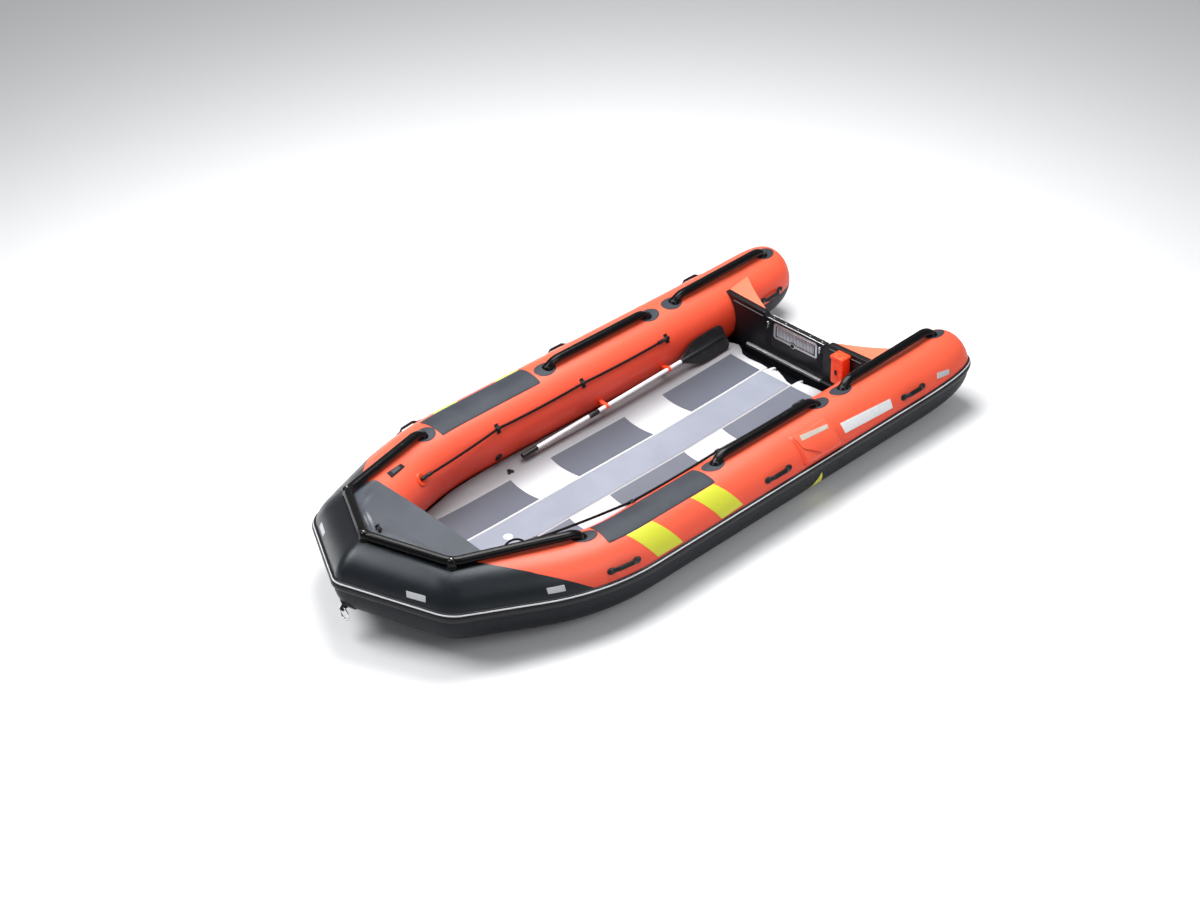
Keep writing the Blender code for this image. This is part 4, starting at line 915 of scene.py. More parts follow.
orange_plastic = moulded("orange_plastic", (0.92, 0.070, 0.016), (0.95, 0.14, 0.05), 0.34)
to_box = facing_bow(BOARD_FRONT_X + SEAT_GAP, BOX_Y)
board("gear_box", round_box(BOX_HALF - LID_OVERLAP, BOX_Z, LID_Z, BOX_CORNER), BOX_DEEP - LID_OVERLAP * 2,
      0.010, to_box, orange_plastic, "orange_fabric", "equipment_box", steps=4)
board("gear_box_lid", round_box(BOX_HALF, LID_Z + LID_GAP, BOX_TOP_Z, BOX_CORNER), BOX_DEEP, 0.009, to_box,
      orange_plastic, "orange_fabric", steps=4)
board("gear_box_catch", round_box(*CATCH_BOX), 0.006, 0.0015,
      to_box @ Matrix.Translation((0, 0, BOX_DEEP - 0.001)), strake_rubber, "black_rubber")

# Orange fabric gussets are stretched from the ears of the transom to the tails, glued along
# both, with a free edge that draws in a little.
GUSSET_INNER_Y = 0.330
GUSSET_ROOT_X = BOARD_AFT_X - 0.0005
GUSSET_AFT_X = -1.913
GUSSET_TAIL_Z = 0.462
GUSSET_THICK = 0.0022
GUSSET_LAP = 0.004
GUSSET_DRAW = 0.016
GUSSET_SAG = 0.006

# The gusset cloth is the tubes' orange painted paler and yellower: a painted highlight for the light on the
# gussets.
gusset_fabric = coated_fabric("gusset_fabric", (0.88, 0.19, 0.095), (0.86, 0.16, 0.075), 0.46, 0.15)
share = np.linspace(0, 1, 16)[:, None]
across = np.linspace(0, 1, 24)
x = GUSSET_ROOT_X + (GUSSET_AFT_X - GUSSET_ROOT_X) * share
outer_z = EAR_OUTER_Z + (GUSSET_TAIL_Z - EAR_OUTER_Z) * share
tube_z, tube_radius = (np.interp(x, PATH[:, 0], PATH[:, k]) for k in (2, 5))
tube_y = TUBE_SPREAD - np.sqrt(np.maximum(tube_radius ** 2 - (outer_z - tube_z) ** 2, 0.0))
outer_y = tube_y + GUSSET_LAP
inner_y = GUSSET_INNER_Y + (tube_y - GUSSET_INNER_Y) * share + GUSSET_DRAW * np.sin(math.pi * share)
inner_y = np.minimum(inner_y, outer_y - GUSSET_LAP / 2)
inner_z = EAR_INNER_Z + (outer_z - EAR_INNER_Z) * share
z = inner_z + (outer_z - inner_z) * across - GUSSET_SAG * np.sin(math.pi * across) * (1 - share)
gusset = np.stack(np.broadcast_arrays(x, inner_y + (outer_y - inner_y) * across, z), -1)
for side, hand in SIDES:
    rows = gusset * (1, side, 1)
    made = build(f"gusset_cloth_{hand}", [shell(rows, rows - (0, 0, GUSSET_THICK))], gusset_fabric,
                 "orange_fabric", f"gusset_{hand}", cloth=rows[..., :2])

# Grab rails of glossy black tube stand along the tops of the tubes and round the bow, their
# feet moulded into rubber bases that are bonded on oval patches of dark fabric.
RAIL_RADIUS = 0.031
RAIL_SQUASH = 0.90
RAIL_SIDES = 30
RAIL_LOBES = 6
RAIL_LOBE_DEPTH = 0.035
RAIL_HEIGHT = 0.041
RAIL_TURN = 99.0
RAIL_CORNER = 0.055
RAIL_STEP = 0.03
LEG_ALONG = (0.026, 0.060, 0.125)
LEG_STEPS = 9
RAIL_SPANS = {"middle": (-1.012, -0.042), "aft": (-2.190, -1.235)}
BOW_RAIL_AFT_X = 1.029
BOW_RAIL_KNUCKLE = np.array((1.826, 0.500, 0.607))
BOW_RAIL_TIP = np.array((2.074, 0.0, 0.674))
BASE_LENGTH = 0.172
BASE_WIDTH = 0.126
PATCH_LOW = 0.0002
PATCH_LIFT = 0.0030
PATCH_STEP = 0.012
PATCH_EDGE = (
    # how far in from the edge, share of the lift
    (0.0, 0.0), (0.0, 0.55), (0.0012, 0.9), (0.0030, 1.0))
PATCH_SHARES = (0.90, 0.80, 0.68, 0.55, 0.42, 0.30, 0.18, 0.07)
BOOT_PROFILE = ((AXIS, 0.0), (0.042, 0.0), (0.041, 0.003), (0.036, 0.008), (0.032, 0.015), (0.028, 0.020),
                (AXIS, 0.021))


def circle(radius, sides=16, squash=1.0):
    """Places (across, up) round a circle, or round an ellipse where it is squashed."""
    angle = np.arange(sides) * 2 * math.pi / sides
    return np.stack([np.cos(angle) * radius, np.sin(angle) * radius * squash], -1)


def tube_frame(x, degrees, side=1):
    """Point on the tube with the directions along it, round it and out of it."""
    origin = hull(x, degrees)
    along = unit(hull(x + 0.01, degrees) - hull(x - 0.01, degrees))
    out = hull(x, degrees, 0.05) - origin
    out = unit(out - along * (out @ along))
    flip = np.array((1.0, side, 1.0))
    return origin * flip, along * flip, np.cross(out, along) * flip, out * flip


def close_points(path, step):
    """The points of a path with more put in between, about a step apart."""
    dense = []
    for a, b in zip(path[:-1], path[1:]):
        pieces = max(1, int(np.linalg.norm(b - a) / step))
        dense += [a + (b - a) * k / pieces for k in range(pieces)]
    return np.array(dense + [path[-1]])


def cloth_outline(corners, corner, step):
    """A closed outline on the flat cloth: corners of (x, turn), rounded, about a step apart."""
    flat = np.array(corners) * (1.0, DEGREE)
    middle = (flat[-1:] + flat[:1]) / 2
    return close_points(rounded([*middle, *flat, *middle], corner), step)[:-1]


def over_rings(name, rings, low, top, side, finish, slot, *nodes, skip=0):
    """A closed piece over rings on the flat cloth, between a low and a top lift off the tube."""
    x, degrees = rings[..., 0], rings[..., 1] / DEGREE
    grid = np.concatenate([hull(x, degrees, low, side)[skip:][::-1], hull(x, degrees, top, side)])
    return build(name, [(grid.reshape(-1, 3), bar_faces(*grid.shape[:2]))], finish, slot, *nodes,
                 cloth=np.concatenate([rings[skip:][::-1], rings]))


def patch(name, corners, side, lift, finish, slot, *nodes, corner=0.006):
    """A thin piece of cloth bonded on the tube: corners of (x, turn), rounded and softly bevelled."""
    outline = cloth_outline(corners, corner, PATCH_STEP)
    away = outline - outline.mean(0)
    rings = [outline - unit(away) * inset for inset, share in PATCH_EDGE]
    rings += [outline.mean(0) + away * share for share in PATCH_SHARES]
    lifts = [max(share * lift, PATCH_LOW) for inset, share in PATCH_EDGE] + [lift] * len(PATCH_SHARES)
    return over_rings(name, np.array(rings), PATCH_LOW, np.array(lifts)[:, None], side, finish, slot, *nodes,
                      skip=len(PATCH_EDGE) - 1)


def oval(x, degrees, length, width):
    """Corners of an oval patch on the tube."""
    slope = np.linalg.norm(hull(x + 0.01, degrees) - hull(x - 0.01, degrees)) / 0.02
    return circle(1.0, 28) * (length / 2 / slope, width / 2 / DEGREE) + (x, degrees)


def rail_end(name, x, way, side):
    """A rail's end: its oval patch, its low boot, and the path of the leg that curves into the run."""
    patch(f"{name}_patch", oval(x, RAIL_TURN, BASE_LENGTH, BASE_WIDTH), side, PATCH_LIFT, patch_fabric,
          "black_rubber")
    foot, along, _, out = tube_frame(x, RAIL_TURN, side)
    near, middle, far = (foot + along * way * reach for reach in LEG_ALONG)
    boot = turned(BOOT_PROFILE, near + out * (PATCH_LIFT - 0.001), out, 28)
    return boot, curve(near + out * 0.004, middle + out * RAIL_HEIGHT, far + out * RAIL_HEIGHT, LEG_STEPS)


gloss_black = moulded("gloss_black", (0.0018, 0.0018, 0.0022), (0.003, 0.003, 0.004), 0.24, 0.0001, 0.2)
patch_fabric = coated_fabric("patch_fabric", (0.036, 0.040, 0.052), (0.026, 0.029, 0.038), 0.50, 0.0, 0.35)
lobed = 1 + RAIL_LOBE_DEPTH * np.cos(RAIL_LOBES * np.arange(RAIL_SIDES)[:, None] * 2 * math.pi / RAIL_SIDES)
rail_section = circle(RAIL_RADIUS, RAIL_SIDES, RAIL_SQUASH) * lobed
for side, hand in SIDES:
    for place, (aft, fore) in RAIL_SPANS.items():
        aft_boot, aft_leg = rail_end(f"rail_{place}_{hand}_aft", aft, 1, side)
        fore_boot, fore_leg = rail_end(f"rail_{place}_{hand}_fore", fore, -1, side)
        run = close_points(np.concatenate([aft_leg, fore_leg[::-1]]), RAIL_STEP)
        build(f"rail_{place}_{hand}", [sweep(run, rail_section), aft_boot, fore_boot], gloss_black,
              "glossy_black", f"side_rail_{place}_{hand}", crease=70.0)
(port_boot, port_leg), (starboard_boot, starboard_leg) = (
    rail_end(f"bow_rail_{hand}", BOW_RAIL_AFT_X, 1, side) for side, hand in SIDES)
corners = rounded([port_leg[-1], BOW_RAIL_KNUCKLE, BOW_RAIL_TIP, BOW_RAIL_KNUCKLE * MIRROR, starboard_leg[-1]],
                  RAIL_CORNER, 9)
run = close_points(np.concatenate([port_leg[:-1], corners, starboard_leg[-2::-1]]), RAIL_STEP)
parts = [sweep(run, rail_section), port_boot, starboard_boot]
heads = []
for rail, tube in ((BOW_RAIL_KNUCKLE, KNUCKLE), (BOW_RAIL_KNUCKLE * MIRROR, KNUCKLE), (BOW_RAIL_TIP, TIP)):
    base = np.array((rail[0], rail[1], tube[2] + TUBE_RADIUS))
    high = rail[2] - base[2]
    parts.append(turned([(0.034, -0.004), (0.034, 0.004), (0.030, 0.008), (0.030, high), (0.026, high + 0.022),
                         (0.010, high + 0.0290)], base, UP, 28))
    heads.append(screw(base + (0, 0, high + 0.0285), UP, 0.0050))
build("rail_bow", parts, gloss_black, "glossy_black", "bow_rail", crease=70.0)
build("rail_screws", heads, steel, "aluminium")

# Carrying handles of moulded rubber, three a side outside and one a side inside the tail:
# a ribbed grip arched between two flat feet that are glued to the fabric.
OUTER_HANDLE_TURN = 31.5
TAIL_HANDLE_TURN = 172.6
OUTER_HANDLES = {"fore": 0.920, "middle": -0.375, "aft": -1.683}
TAIL_HANDLE_X = -2.049
HANDLE_HALF = 0.1075
HANDLE_RISE = 0.026
HANDLE_RUN = ((-1, 0.0065), (-0.74, 0.0065), (-0.52, HANDLE_RISE), (0.52, HANDLE_RISE), (0.74, 0.0065),
              (1, 0.0065))
HANDLE_SECTION = np.sign(circle(1.0)) * np.abs(circle(1.0)) ** (0.6, 0.7) * (0.0150, 0.0070)
RIBS_ALONG = np.linspace(-0.46, 0.46, 13)
RIB_HALF = 0.0018
RIB_SWELL = (1.06, 1.22)
FOOT_ALONG = 0.86
FOOT_RINGS = ((1, -0.006), (1, 0.004), (0.86, 0.0062))


def handle(name, x, degrees, side, node):
    """A handle: its arched grip, the ribs round the grip and its two oval feet."""
    origin, along, round_way, out = tube_frame(x, degrees, side)
    run = rounded([origin + along * HANDLE_HALF * a + out * h for a, h in HANDLE_RUN], 0.024, 7)
    parts = [sweep(close_points(run, RAIL_STEP), HANDLE_SECTION, out)]
    for a in RIBS_ALONG:
        place = origin + along * HANDLE_HALF * a + out * HANDLE_RISE
        parts.append(sweep([place - along * RIB_HALF, place, place + along * RIB_HALF],
                           HANDLE_SECTION * RIB_SWELL, out))
    edge = circle(0.030, 24, 0.7)
    pad = edge[:, :1] * along + edge[:, 1:] * round_way
    for end in (-1, 1):
        foot = origin + along * end * HANDLE_HALF * FOOT_ALONG
        rings = [foot + pad * wide + out * lift for wide, lift in FOOT_RINGS]
        parts.append((np.concatenate(rings), bar_faces(len(rings), len(pad))))
    build(name, parts, handle_rubber, "black_rubber", node)


handle_rubber = moulded("handle_rubber", (0.006, 0.006, 0.007), (0.014, 0.014, 0.016), 0.40, gloss=0.4)
for side, hand in SIDES:
    for place, x in OUTER_HANDLES.items():
        handle(f"grip_{place}_{hand}", x, OUTER_HANDLE_TURN, side, f"handle_{place}_{hand}")
    handle(f"grip_tail_{hand}", TAIL_HANDLE_X, TAIL_HANDLE_TURN, side, f"handle_tail_{hand}")

# Grippy step pads are bonded over the tops of the tubes, and bright reflective patches run
# down the sides below them, with short grey reflective tapes round the bow and the stern.
PAD_CORNERS = ((0.065, 118.0), (0.940, 118.0), (0.940, 69.5), (0.065, 69.5))
PAD_LIFT = 0.0042
PAD_COLOURS = ((0.026, 0.029, 0.037, 1), (0.044, 0.048, 0.060, 1))
LIME_LIFT = 0.0015
LIME_PATCHES = {"fore": ((0.818, 69.5), (0.615, 68.2), (0.494, 19.0), (0.705, 19.5)),
                "aft": ((0.286, 68.2), (0.085, 68.5), (-0.032, 20.0), (0.157, 17.8))}
LIME_UNDER = ((-0.752, -7.0), (-0.660, -46.0), (-0.812, -48.0))
GREY_LIFT = 0.0024
GREY_PATCHES = {"bow": ((1.266, 32.3), (1.357, 32.4), (1.354, 23.8), (1.264, 23.4)),
                "nose": ((1.861, 32.4), (1.901, 31.4), (1.899, 22.8), (1.860, 23.6)),
                "stern": ((-1.945, 36.5), (-2.058, 30.8), (-2.044, 23.8), (-1.925, 28.2))}

step_pad, shader, place, flat = start_finish("step_pad", {"Specular IOR Level": 0.35, "Specular Tint": SHEEN})
slanted = flat.node("Mapping", {}, {"Vector": flat, "Rotation": (0.0, 0.0, math.radians(45))})
diamonds = slanted.bands(0.009).ramp(0.25, 0.75) * slanted.bands(0.009, "Y").ramp(0.25, 0.75)
wear = place.noise(4.2, 4.0, 0.5)
feed(shader, base_color=(wear.ramp(0.3, 0.7) * 0.7 + diamonds * 0.3).blend(*PAD_COLOURS),
     roughness=wear * 0.16 + diamonds * 0.06 + 0.44,
     normal=(diamonds * 0.6 + place.noise(300.0) * 0.2).bump(0.0012))


def reflective(name, colour, edge, roughness):
    """Reflective tape: tiny hexagonal cells sealed under a clear film."""
    made, shader, place, flat = start_finish(name, {"Coat Weight": 0.4, "Coat Roughness": 0.15})
    cells = flat.node("TexVoronoi", {"feature": "DISTANCE_TO_EDGE"}, {"Vector": flat, "Scale": 240.0})
    walls = cells.ramp(0.10, 0.02)
    dust = place.noise(21.0, 4.0, 0.6)
    feed(shader, base_color=(walls * 0.6 + dust.ramp(0.55, 0.8) * 0.4).blend(colour, edge),
         roughness=dust * 0.12 + (roughness - 0.06), normal=(walls * 0.7 + dust * 0.3).bump(0.0003))
    return made


lime_tape = reflective("lime_tape", (0.60, 0.61, 0.016, 1), (0.50, 0.54, 0.018, 1), 0.46)
grey_tape = reflective("grey_tape", (0.46, 0.47, 0.49, 1), (0.36, 0.37, 0.39, 1), 0.36)
for side, hand in SIDES:
    patch(f"pad_{hand}", PAD_CORNERS, side, PAD_LIFT, step_pad, "grip_pad", f"step_pad_{hand}", corner=0.012)
    for place, corners in LIME_PATCHES.items():
        patch(f"lime_{place}_{hand}", corners, side, LIME_LIFT, lime_tape, "orange_fabric", corner=0.004)
    patch(f"lime_under_{hand}", LIME_UNDER, side, LIME_LIFT, lime_tape, "black_fabric", corner=0.004)
    for place, corners in GREY_PATCHES.items():
        patch(f"tape_{place}_{hand}", corners, side, GREY_LIFT, grey_tape, "black_fabric", corner=0.003)

# The port tube carries a blank white plate of vinyl, and a flat fabric pouch: a pocket that
# stands off the tube a little, a flap over its mouth and a blank label on the flap.
PLATE_CORNERS = ((-1.005, 48.2), (-1.475, 41.2), (-1.465, 26.5), (-1.007, 31.2))
POUCH_X = (-0.600, -0.945)
POUCH_TURNS = (70.5, 20.0)
POUCH_LOW = 0.0010
POUCH_PROUD = 0.032
FLAP_OUTLINE = ((-0.610, 67.0), (-0.622, 44.5), (-0.744, 27.5), (-0.887, 27.2), (-0.930, 46.0), (-0.930, 65.2))
FLAP_LIFTS = (0.0030, 0.0080)
LABEL_CORNERS = ((-0.658, 62.2), (-0.891, 56.5), (-0.879, 50.8), (-0.646, 54.2))
LABEL_LIFTS = (0.0084, 0.0094)
OVERLAY_STEP = 0.010
OVERLAY_SHARES = np.array((1.0, 0.985, 0.95, 0.86, 0.74, 0.62, 0.5, 0.38, 0.26, 0.14, 0.04))

white_vinyl = moulded("white_vinyl", (0.66, 0.67, 0.68), (0.56, 0.57, 0.58), 0.36, 0.0001)
label_vinyl = moulded("label_vinyl", (0.44, 0.41, 0.36), (0.36, 0.33, 0.29), 0.40, 0.0001)
patch("blank_plate", PLATE_CORNERS, 1, 0.0014, white_vinyl, "grey_plate")
across = np.linspace(0, 1, 26)[:, None]
down = np.linspace(0, 1, 34)[None]
edge_x = np.clip(np.minimum(across / 0.05, (1 - across) / 0.12), 0, 1)
edge_turn = np.clip(np.minimum(down, 1 - down) / 0.14, 0, 1)
puff = np.minimum(edge_x * (2 - edge_x), edge_turn * (2 - edge_turn))
pouch_lift = POUCH_LOW + POUCH_PROUD * puff * (0.42 + 0.58 * down + 0.12 * np.sin(across * 9.0) * down)
skin("pouch", np.interp(across, (0, 1), POUCH_X), np.interp(down, (0, 1), POUCH_TURNS), pouch_lift, 1,
     orange_fabric, "orange_fabric", "side_pouch", low=PATCH_LOW)


def overlay(name, corners, lifts, finish, slot, corner):
    """A flat piece that lies over the pouch: corners of (x, turn) between two lifts off it."""
    outline = cloth_outline(corners, corner, OVERLAY_STEP)
    rings = outline.mean(0) + OVERLAY_SHARES[:, None, None] * (outline - outline.mean(0))
    nearest = []
    for places, (start, stop), last in ((rings[..., 0], POUCH_X, pouch_lift.shape[0] - 1),
                                        (rings[..., 1] / DEGREE, POUCH_TURNS, pouch_lift.shape[1] - 1)):
        nearest.append(np.clip(np.round((places - start) / (stop - start) * last).astype(int), 0, last))
    on_pouch = pouch_lift[tuple(nearest)]
    return over_rings(name, rings, on_pouch + lifts[0], on_pouch + lifts[1], 1, finish, slot)


flap = overlay("pouch_flap", FLAP_OUTLINE, FLAP_LIFTS, orange_fabric, "orange_fabric", 0.012)
overlay("pouch_label", LABEL_CORNERS, LABEL_LIFTS, label_vinyl, "grey_plate", 0.004)

# Lifelines of twisted black rope run taut along the inside of the tubes through webbing lugs,
# from a round orange patch at the fore end, with a rubber sleeve over the knot at either end.
LINE_RADIUS = 0.0090
LINE_TURNS = {1: 131.0, -1: 149.5}
LINE_STAND_OFF = 0.0128
LINE_LUGS = (1.358, 0.539, -0.219, -1.010)
LINE_DROOP = 0.008
LINE_STEPS = 8
ROPE_LAY = 0.040
ROPE_STRANDS = 3
ROSE_PROFILE = ((AXIS, -0.004), (0.044, -0.004), (0.044, 0.003), (0.040, 0.0075), (0.034, 0.0085),
                (0.028, 0.0060), (0.014, 0.0050), (AXIS, 0.0050))
SLEEVE_LENGTH = 0.100
SLEEVE_RADIUS = 0.0140
SLEEVE_SHARES = ((0.80, 0.01), (1.0, 0.06), (1.0, 0.45), (0.72, 0.52), (0.95, 0.60), (0.95, 0.95))
SLEEVE_PROFILE = [(AXIS, 0.0), *((r * SLEEVE_RADIUS, h * SLEEVE_LENGTH) for r, h in SLEEVE_SHARES),
                  (AXIS, SLEEVE_LENGTH)]
SLACK_LOOP = ((0.0, 0.0, 0.0), (0.050, -0.012, 0.045), (0.110, -0.020, 0.058), (0.165, -0.016, 0.036),
              (0.200, 0.004, 0.0))
LUG_RUN = ((-0.034, 0.0045), (-0.018, 0.0050), (-0.010, 0.016), (-0.005, 0.0235), (0.005, 0.0235),
           (0.010, 0.016), (0.018, 0.0050), (0.034, 0.0045))
LUG_SECTION = np.array(((1, -1), (1, 0.6), (0.9, 1), (-0.9, 1), (-1, 0.6), (-1, -1))) * (0.0150, 0.0014)
HAND_LOOP = ((1.524, 106.5), (1.548, 117.5), (1.384, 119.8), (1.382, 112.0))
HAND_LOOP_MIDDLE = ((1.500, 109.2), (1.510, 115.6), (1.424, 116.8), (1.420, 111.8))


def smooth_path(points, step):
    """A smooth curve through points, in even steps."""
    points = np.asarray(points, float)
    ends = np.concatenate([[2 * points[0] - points[1]], points, [2 * points[-1] - points[-2]]])
    path = []
    for a, b, c, d in zip(ends[:-3], ends[1:-2], ends[2:-1], ends[3:]):
        pieces = max(2, int(np.linalg.norm(c - b) / step))
        t = (np.arange(pieces) / pieces)[:, None]
        path.append(0.5 * (2 * b + (c - a) * t + (2 * a - 5 * b + 4 * c - d) * t ** 2
                           + (3 * b - a - 3 * c + d) * t ** 3))
    return np.concatenate(path + [points[-1:]])


def rope(points, radius):
    """A laid rope along a curve: strands wound round each other."""
    path = smooth_path(points, ROPE_LAY / 10)
    along = unit(np.gradient(path, axis=0))
    tops = tops_along(along)
    length = np.append(0, np.cumsum(np.linalg.norm(np.diff(path, axis=0), axis=1)))[:, None]
    parts = []
    for k in range(ROPE_STRANDS):
        turn = (length / ROPE_LAY + k / ROPE_STRANDS) * 2 * math.pi
        core = path + (np.cross(along, tops) * np.cos(turn) + tops * np.sin(turn)) * radius * 0.50
        parts.append(sweep(core, circle(radius * 0.52, 7)))
    return parts


def lug(x, degrees, side):
    """A webbing lug: a flat tab glued down at both ends and arched over the rope."""
    origin, _, round_way, out = tube_frame(x, degrees, side)
    return sweep(smooth_path([origin + round_way * a + out * h for a, h in LUG_RUN], 0.004), LUG_SECTION, out)


rope_fibre = coated_fabric("rope_fibre", (0.005, 0.005, 0.006), (0.003, 0.003, 0.004), 0.70, 0.0, 0.15)
grey_webbing = coated_fabric("grey_webbing", (0.060, 0.058, 0.058), (0.040, 0.039, 0.040), 0.62, 0.0)
for side, hand in SIDES:
    line_turn = LINE_TURNS[side]
    held = hull(LINE_LUGS, line_turn, LINE_STAND_OFF, side)
    points = [start + (stop - start) * t - (0, 0, LINE_DROOP * math.sin(math.pi * t))
              for start, stop in zip(held[:-1], held[1:]) for t in np.arange(LINE_STEPS) / LINE_STEPS]
    parts = rope(points + [held[-1]], LINE_RADIUS)
    if side > 0:
        parts += rope(held[0] + SLACK_LOOP, LINE_RADIUS * 0.8)
    build(f"line_{hand}", parts, rope_fibre, "black_rope", f"lifeline_{hand}", crease=60.0)
    build(f"line_lugs_{hand}", [lug(x, line_turn, side) for x in LINE_LUGS[1:]], webbing, "black_rope")
    origin, _, _, out = tube_frame(LINE_LUGS[0], line_turn, side)
    build(f"line_rose_{hand}", [turned(ROSE_PROFILE, origin, out, 32)], orange_plastic, "orange_fabric")
    for k, x in enumerate(LINE_LUGS[1:]):
        patch(f"line_patch_{hand}_{k}", oval(x, line_turn, 0.062, 0.100), side, 0.0026, orange_fabric,
              "orange_fabric", corner=0.004)
    sleeves = []
    for end, onward in ((held[0], held[1]), (held[-1], held[-2])):
        way = unit(onward - end)
        sleeves.append(turned(SLEEVE_PROFILE, end - way * 0.012, way, 16))
    build(f"line_sleeves_{hand}", sleeves, strake_rubber, "black_rope")
    patch(f"hand_loop_{hand}", HAND_LOOP, side, 0.0040, webbing, "black_fabric")
    patch(f"hand_loop_middle_{hand}", HAND_LOOP_MIDDLE, side, 0.0090, grey_webbing, "black_fabric")

# A round inflation valve of moulded rubber sits in the inboard side of the starboard tube, and
# a pressure valve and a small fitting with three lobes are let into the deck.
VALVE_X = 0.563
VALVE_TURN = 198.5
VALVE_PROFILE = ((AXIS, 0.0), (0.030, 0.0), (0.030, 0.003), (0.027, 0.0065), (0.0215, 0.0075), (0.0200, 0.0050),
                 (0.0190, 0.0050), (0.0180, 0.0110), (0.0165, 0.0122), (0.0070, 0.0122), (0.0055, 0.0100),
                 (AXIS, 0.0100))
VALVE_PATCH_SIZE = 0.094
DECK_VALVE = (1.009, 0.011)
DECK_VALVE_SCALE = (1.05, 0.45)
DECK_FITTING = (0.554, -0.496)
LOBE_OUT = 0.015
LOBE_ANGLE = 0.5
LOBE_PROFILE = ((AXIS, -0.004), (0.012, -0.004), (0.012, 0.006), (0.009, 0.009), (AXIS, 0.009))
STEM_PROFILE = ((AXIS, -0.004), (0.010, -0.004), (0.010, 0.016), (0.007, 0.020), (AXIS, 0.020))

origin, _, _, out = tube_frame(VALVE_X, VALVE_TURN, -1)
build("valve", [turned(VALVE_PROFILE, origin, out, 32)], strake_rubber, "black_rubber", "air_valve")
patch("valve_patch", oval(VALVE_X, VALVE_TURN, VALVE_PATCH_SIZE, VALVE_PATCH_SIZE), -1, 0.0018, orange_fabric,
      "orange_fabric", corner=0.004)
deck_valve = turned(np.array(VALVE_PROFILE) * DECK_VALVE_SCALE, (*DECK_VALVE, deck_top(*DECK_VALVE) - 0.001),
                    UP, 32)
build("deck_valve", [deck_valve], white_vinyl, "deck_fabric")
fitting = np.array((*DECK_FITTING, deck_top(*DECK_FITTING)))
lobes = []
for angle in LOBE_ANGLE + np.arange(3) * 2 * math.pi / 3:
    out = np.array((math.cos(angle), math.sin(angle), 0.0))
    lobes.append(turned(LOBE_PROFILE, fitting + LOBE_OUT * out, UP, 18))
lobes.append(turned(STEM_PROFILE, fitting, UP, 18))
build("deck_fitting", lobes, strake_rubber, "black_rubber")

# The oars lie along the deck in orange clips on the tubes: a white coated shaft with a black
# rubber grip and sleeve, and a moulded black blade stiffened by a rib down its middle.
OAR_Y = 0.524
OAR_GRIP = np.array((0.420, OAR_Y, 0.137))
OAR_NECK = np.array((-1.060, OAR_Y, 0.200))
OAR_LENGTH = math.dist(OAR_GRIP, OAR_NECK)
OAR_WAY = unit(OAR_NECK - OAR_GRIP)
SHAFT_START = 0.120
SHAFT_RADIUS = 0.0150
GRIP_START = ((0.0, AXIS), (0.0, 0.0150), (0.002, 0.0175), (0.008, 0.0190))
GRIP_RIB = ((0.016, 0.0190), (0.021, 0.0180))
GRIP_RIBS = 9
GRIP_RIB_PITCH = 0.012
GRIP_END = ((0.124, 0.0190), (0.130, 0.0180), (0.133, 0.0150), (0.133, AXIS))
SLEEVE_X = (-0.180, -0.270)
BLADE_LENGTH = 0.450
BLADE_SEAT = 0.0006
BLADE_HALF = 0.0925
BLADE_TILT = math.radians(30.0)
BLADE_PLAN = ((0.0, 0.20), (0.06, 0.26), (0.14, 0.46), (0.24, 0.72), (0.34, 0.90), (0.46, 0.98), (0.60, 1.0),
              (0.78, 1.0), (0.90, 0.98), (0.95, 0.92), (0.98, 0.80), (1.0, 0.62))
CLIP_PLACES = {"fore": -0.346, "aft": -0.940}
CLIP_BAND = ((-0.012, AXIS), (-0.012, 0.0165), (-0.009, 0.0195), (0.009, 0.0195), (0.012, 0.0165),
             (0.012, AXIS))

shaft_paint = moulded("white_shaft", (0.74, 0.75, 0.77), (0.58, 0.59, 0.62), 0.28, 0.0001)
blade_plastic = moulded("black_plastic", (0.008, 0.009, 0.011), (0.018, 0.019, 0.023), 0.40, gloss=0.4)


def bar_of(profile, sides=20):
    """A turned bar along the port oar from distances and radii."""
    return turned([(radius, distance) for distance, radius in profile], OAR_GRIP, OAR_WAY, sides)


def down_oar(x):
    """How far along the oar from its grip a place along the boat is."""
    return (OAR_GRIP[0] - x) / -OAR_WAY[0]


shaft_end = OAR_LENGTH - 0.001
shaft = bar_of([(SHAFT_START, AXIS), (SHAFT_START, SHAFT_RADIUS - 0.0001), (0.5, SHAFT_RADIUS),
                (1.0, SHAFT_RADIUS), (shaft_end, SHAFT_RADIUS), (shaft_end, AXIS)])
ribbing = [(start + GRIP_RIB_PITCH * k, radius) for k in range(GRIP_RIBS) for start, radius in GRIP_RIB]
grip_bar = bar_of([*GRIP_START, *ribbing, *GRIP_END], 24)
start, stop = (down_oar(x) for x in SLEEVE_X)
sleeve = bar_of([(start, AXIS), (start, 0.0168), (start + 0.006, 0.0185), (stop - 0.006, 0.0185),
                 (stop, 0.0168), (stop, AXIS)])
up_way = np.cross(OAR_WAY, (0.0, 1.0, 0.0))
up_way = up_way * math.copysign(1, up_way[2])
wide_way = up_way * math.cos(BLADE_TILT) + (0.0, math.sin(BLADE_TILT), 0.0)
thick_way = np.cross(OAR_WAY, wide_way)
share = np.concatenate([np.linspace(0, 0.9, 30), np.linspace(0.92, 1.0, 8)])[:, None, None]
spread = np.linspace(-1, 1, 25)[:, None]
half = BLADE_HALF * np.interp(share, *np.transpose(BLADE_PLAN))
rib = 0.0125 * np.exp(-(spread * half / 0.010) ** 2) * (1 - share) ** 0.5
dish = 0.010 * spread ** 2 * np.interp(share, (0, 0.3, 1), (0, 1, 0.8)) - 0.003
edge = 0.0032 * np.sqrt(np.clip(1 - np.abs(spread) ** 8, 0, 1))
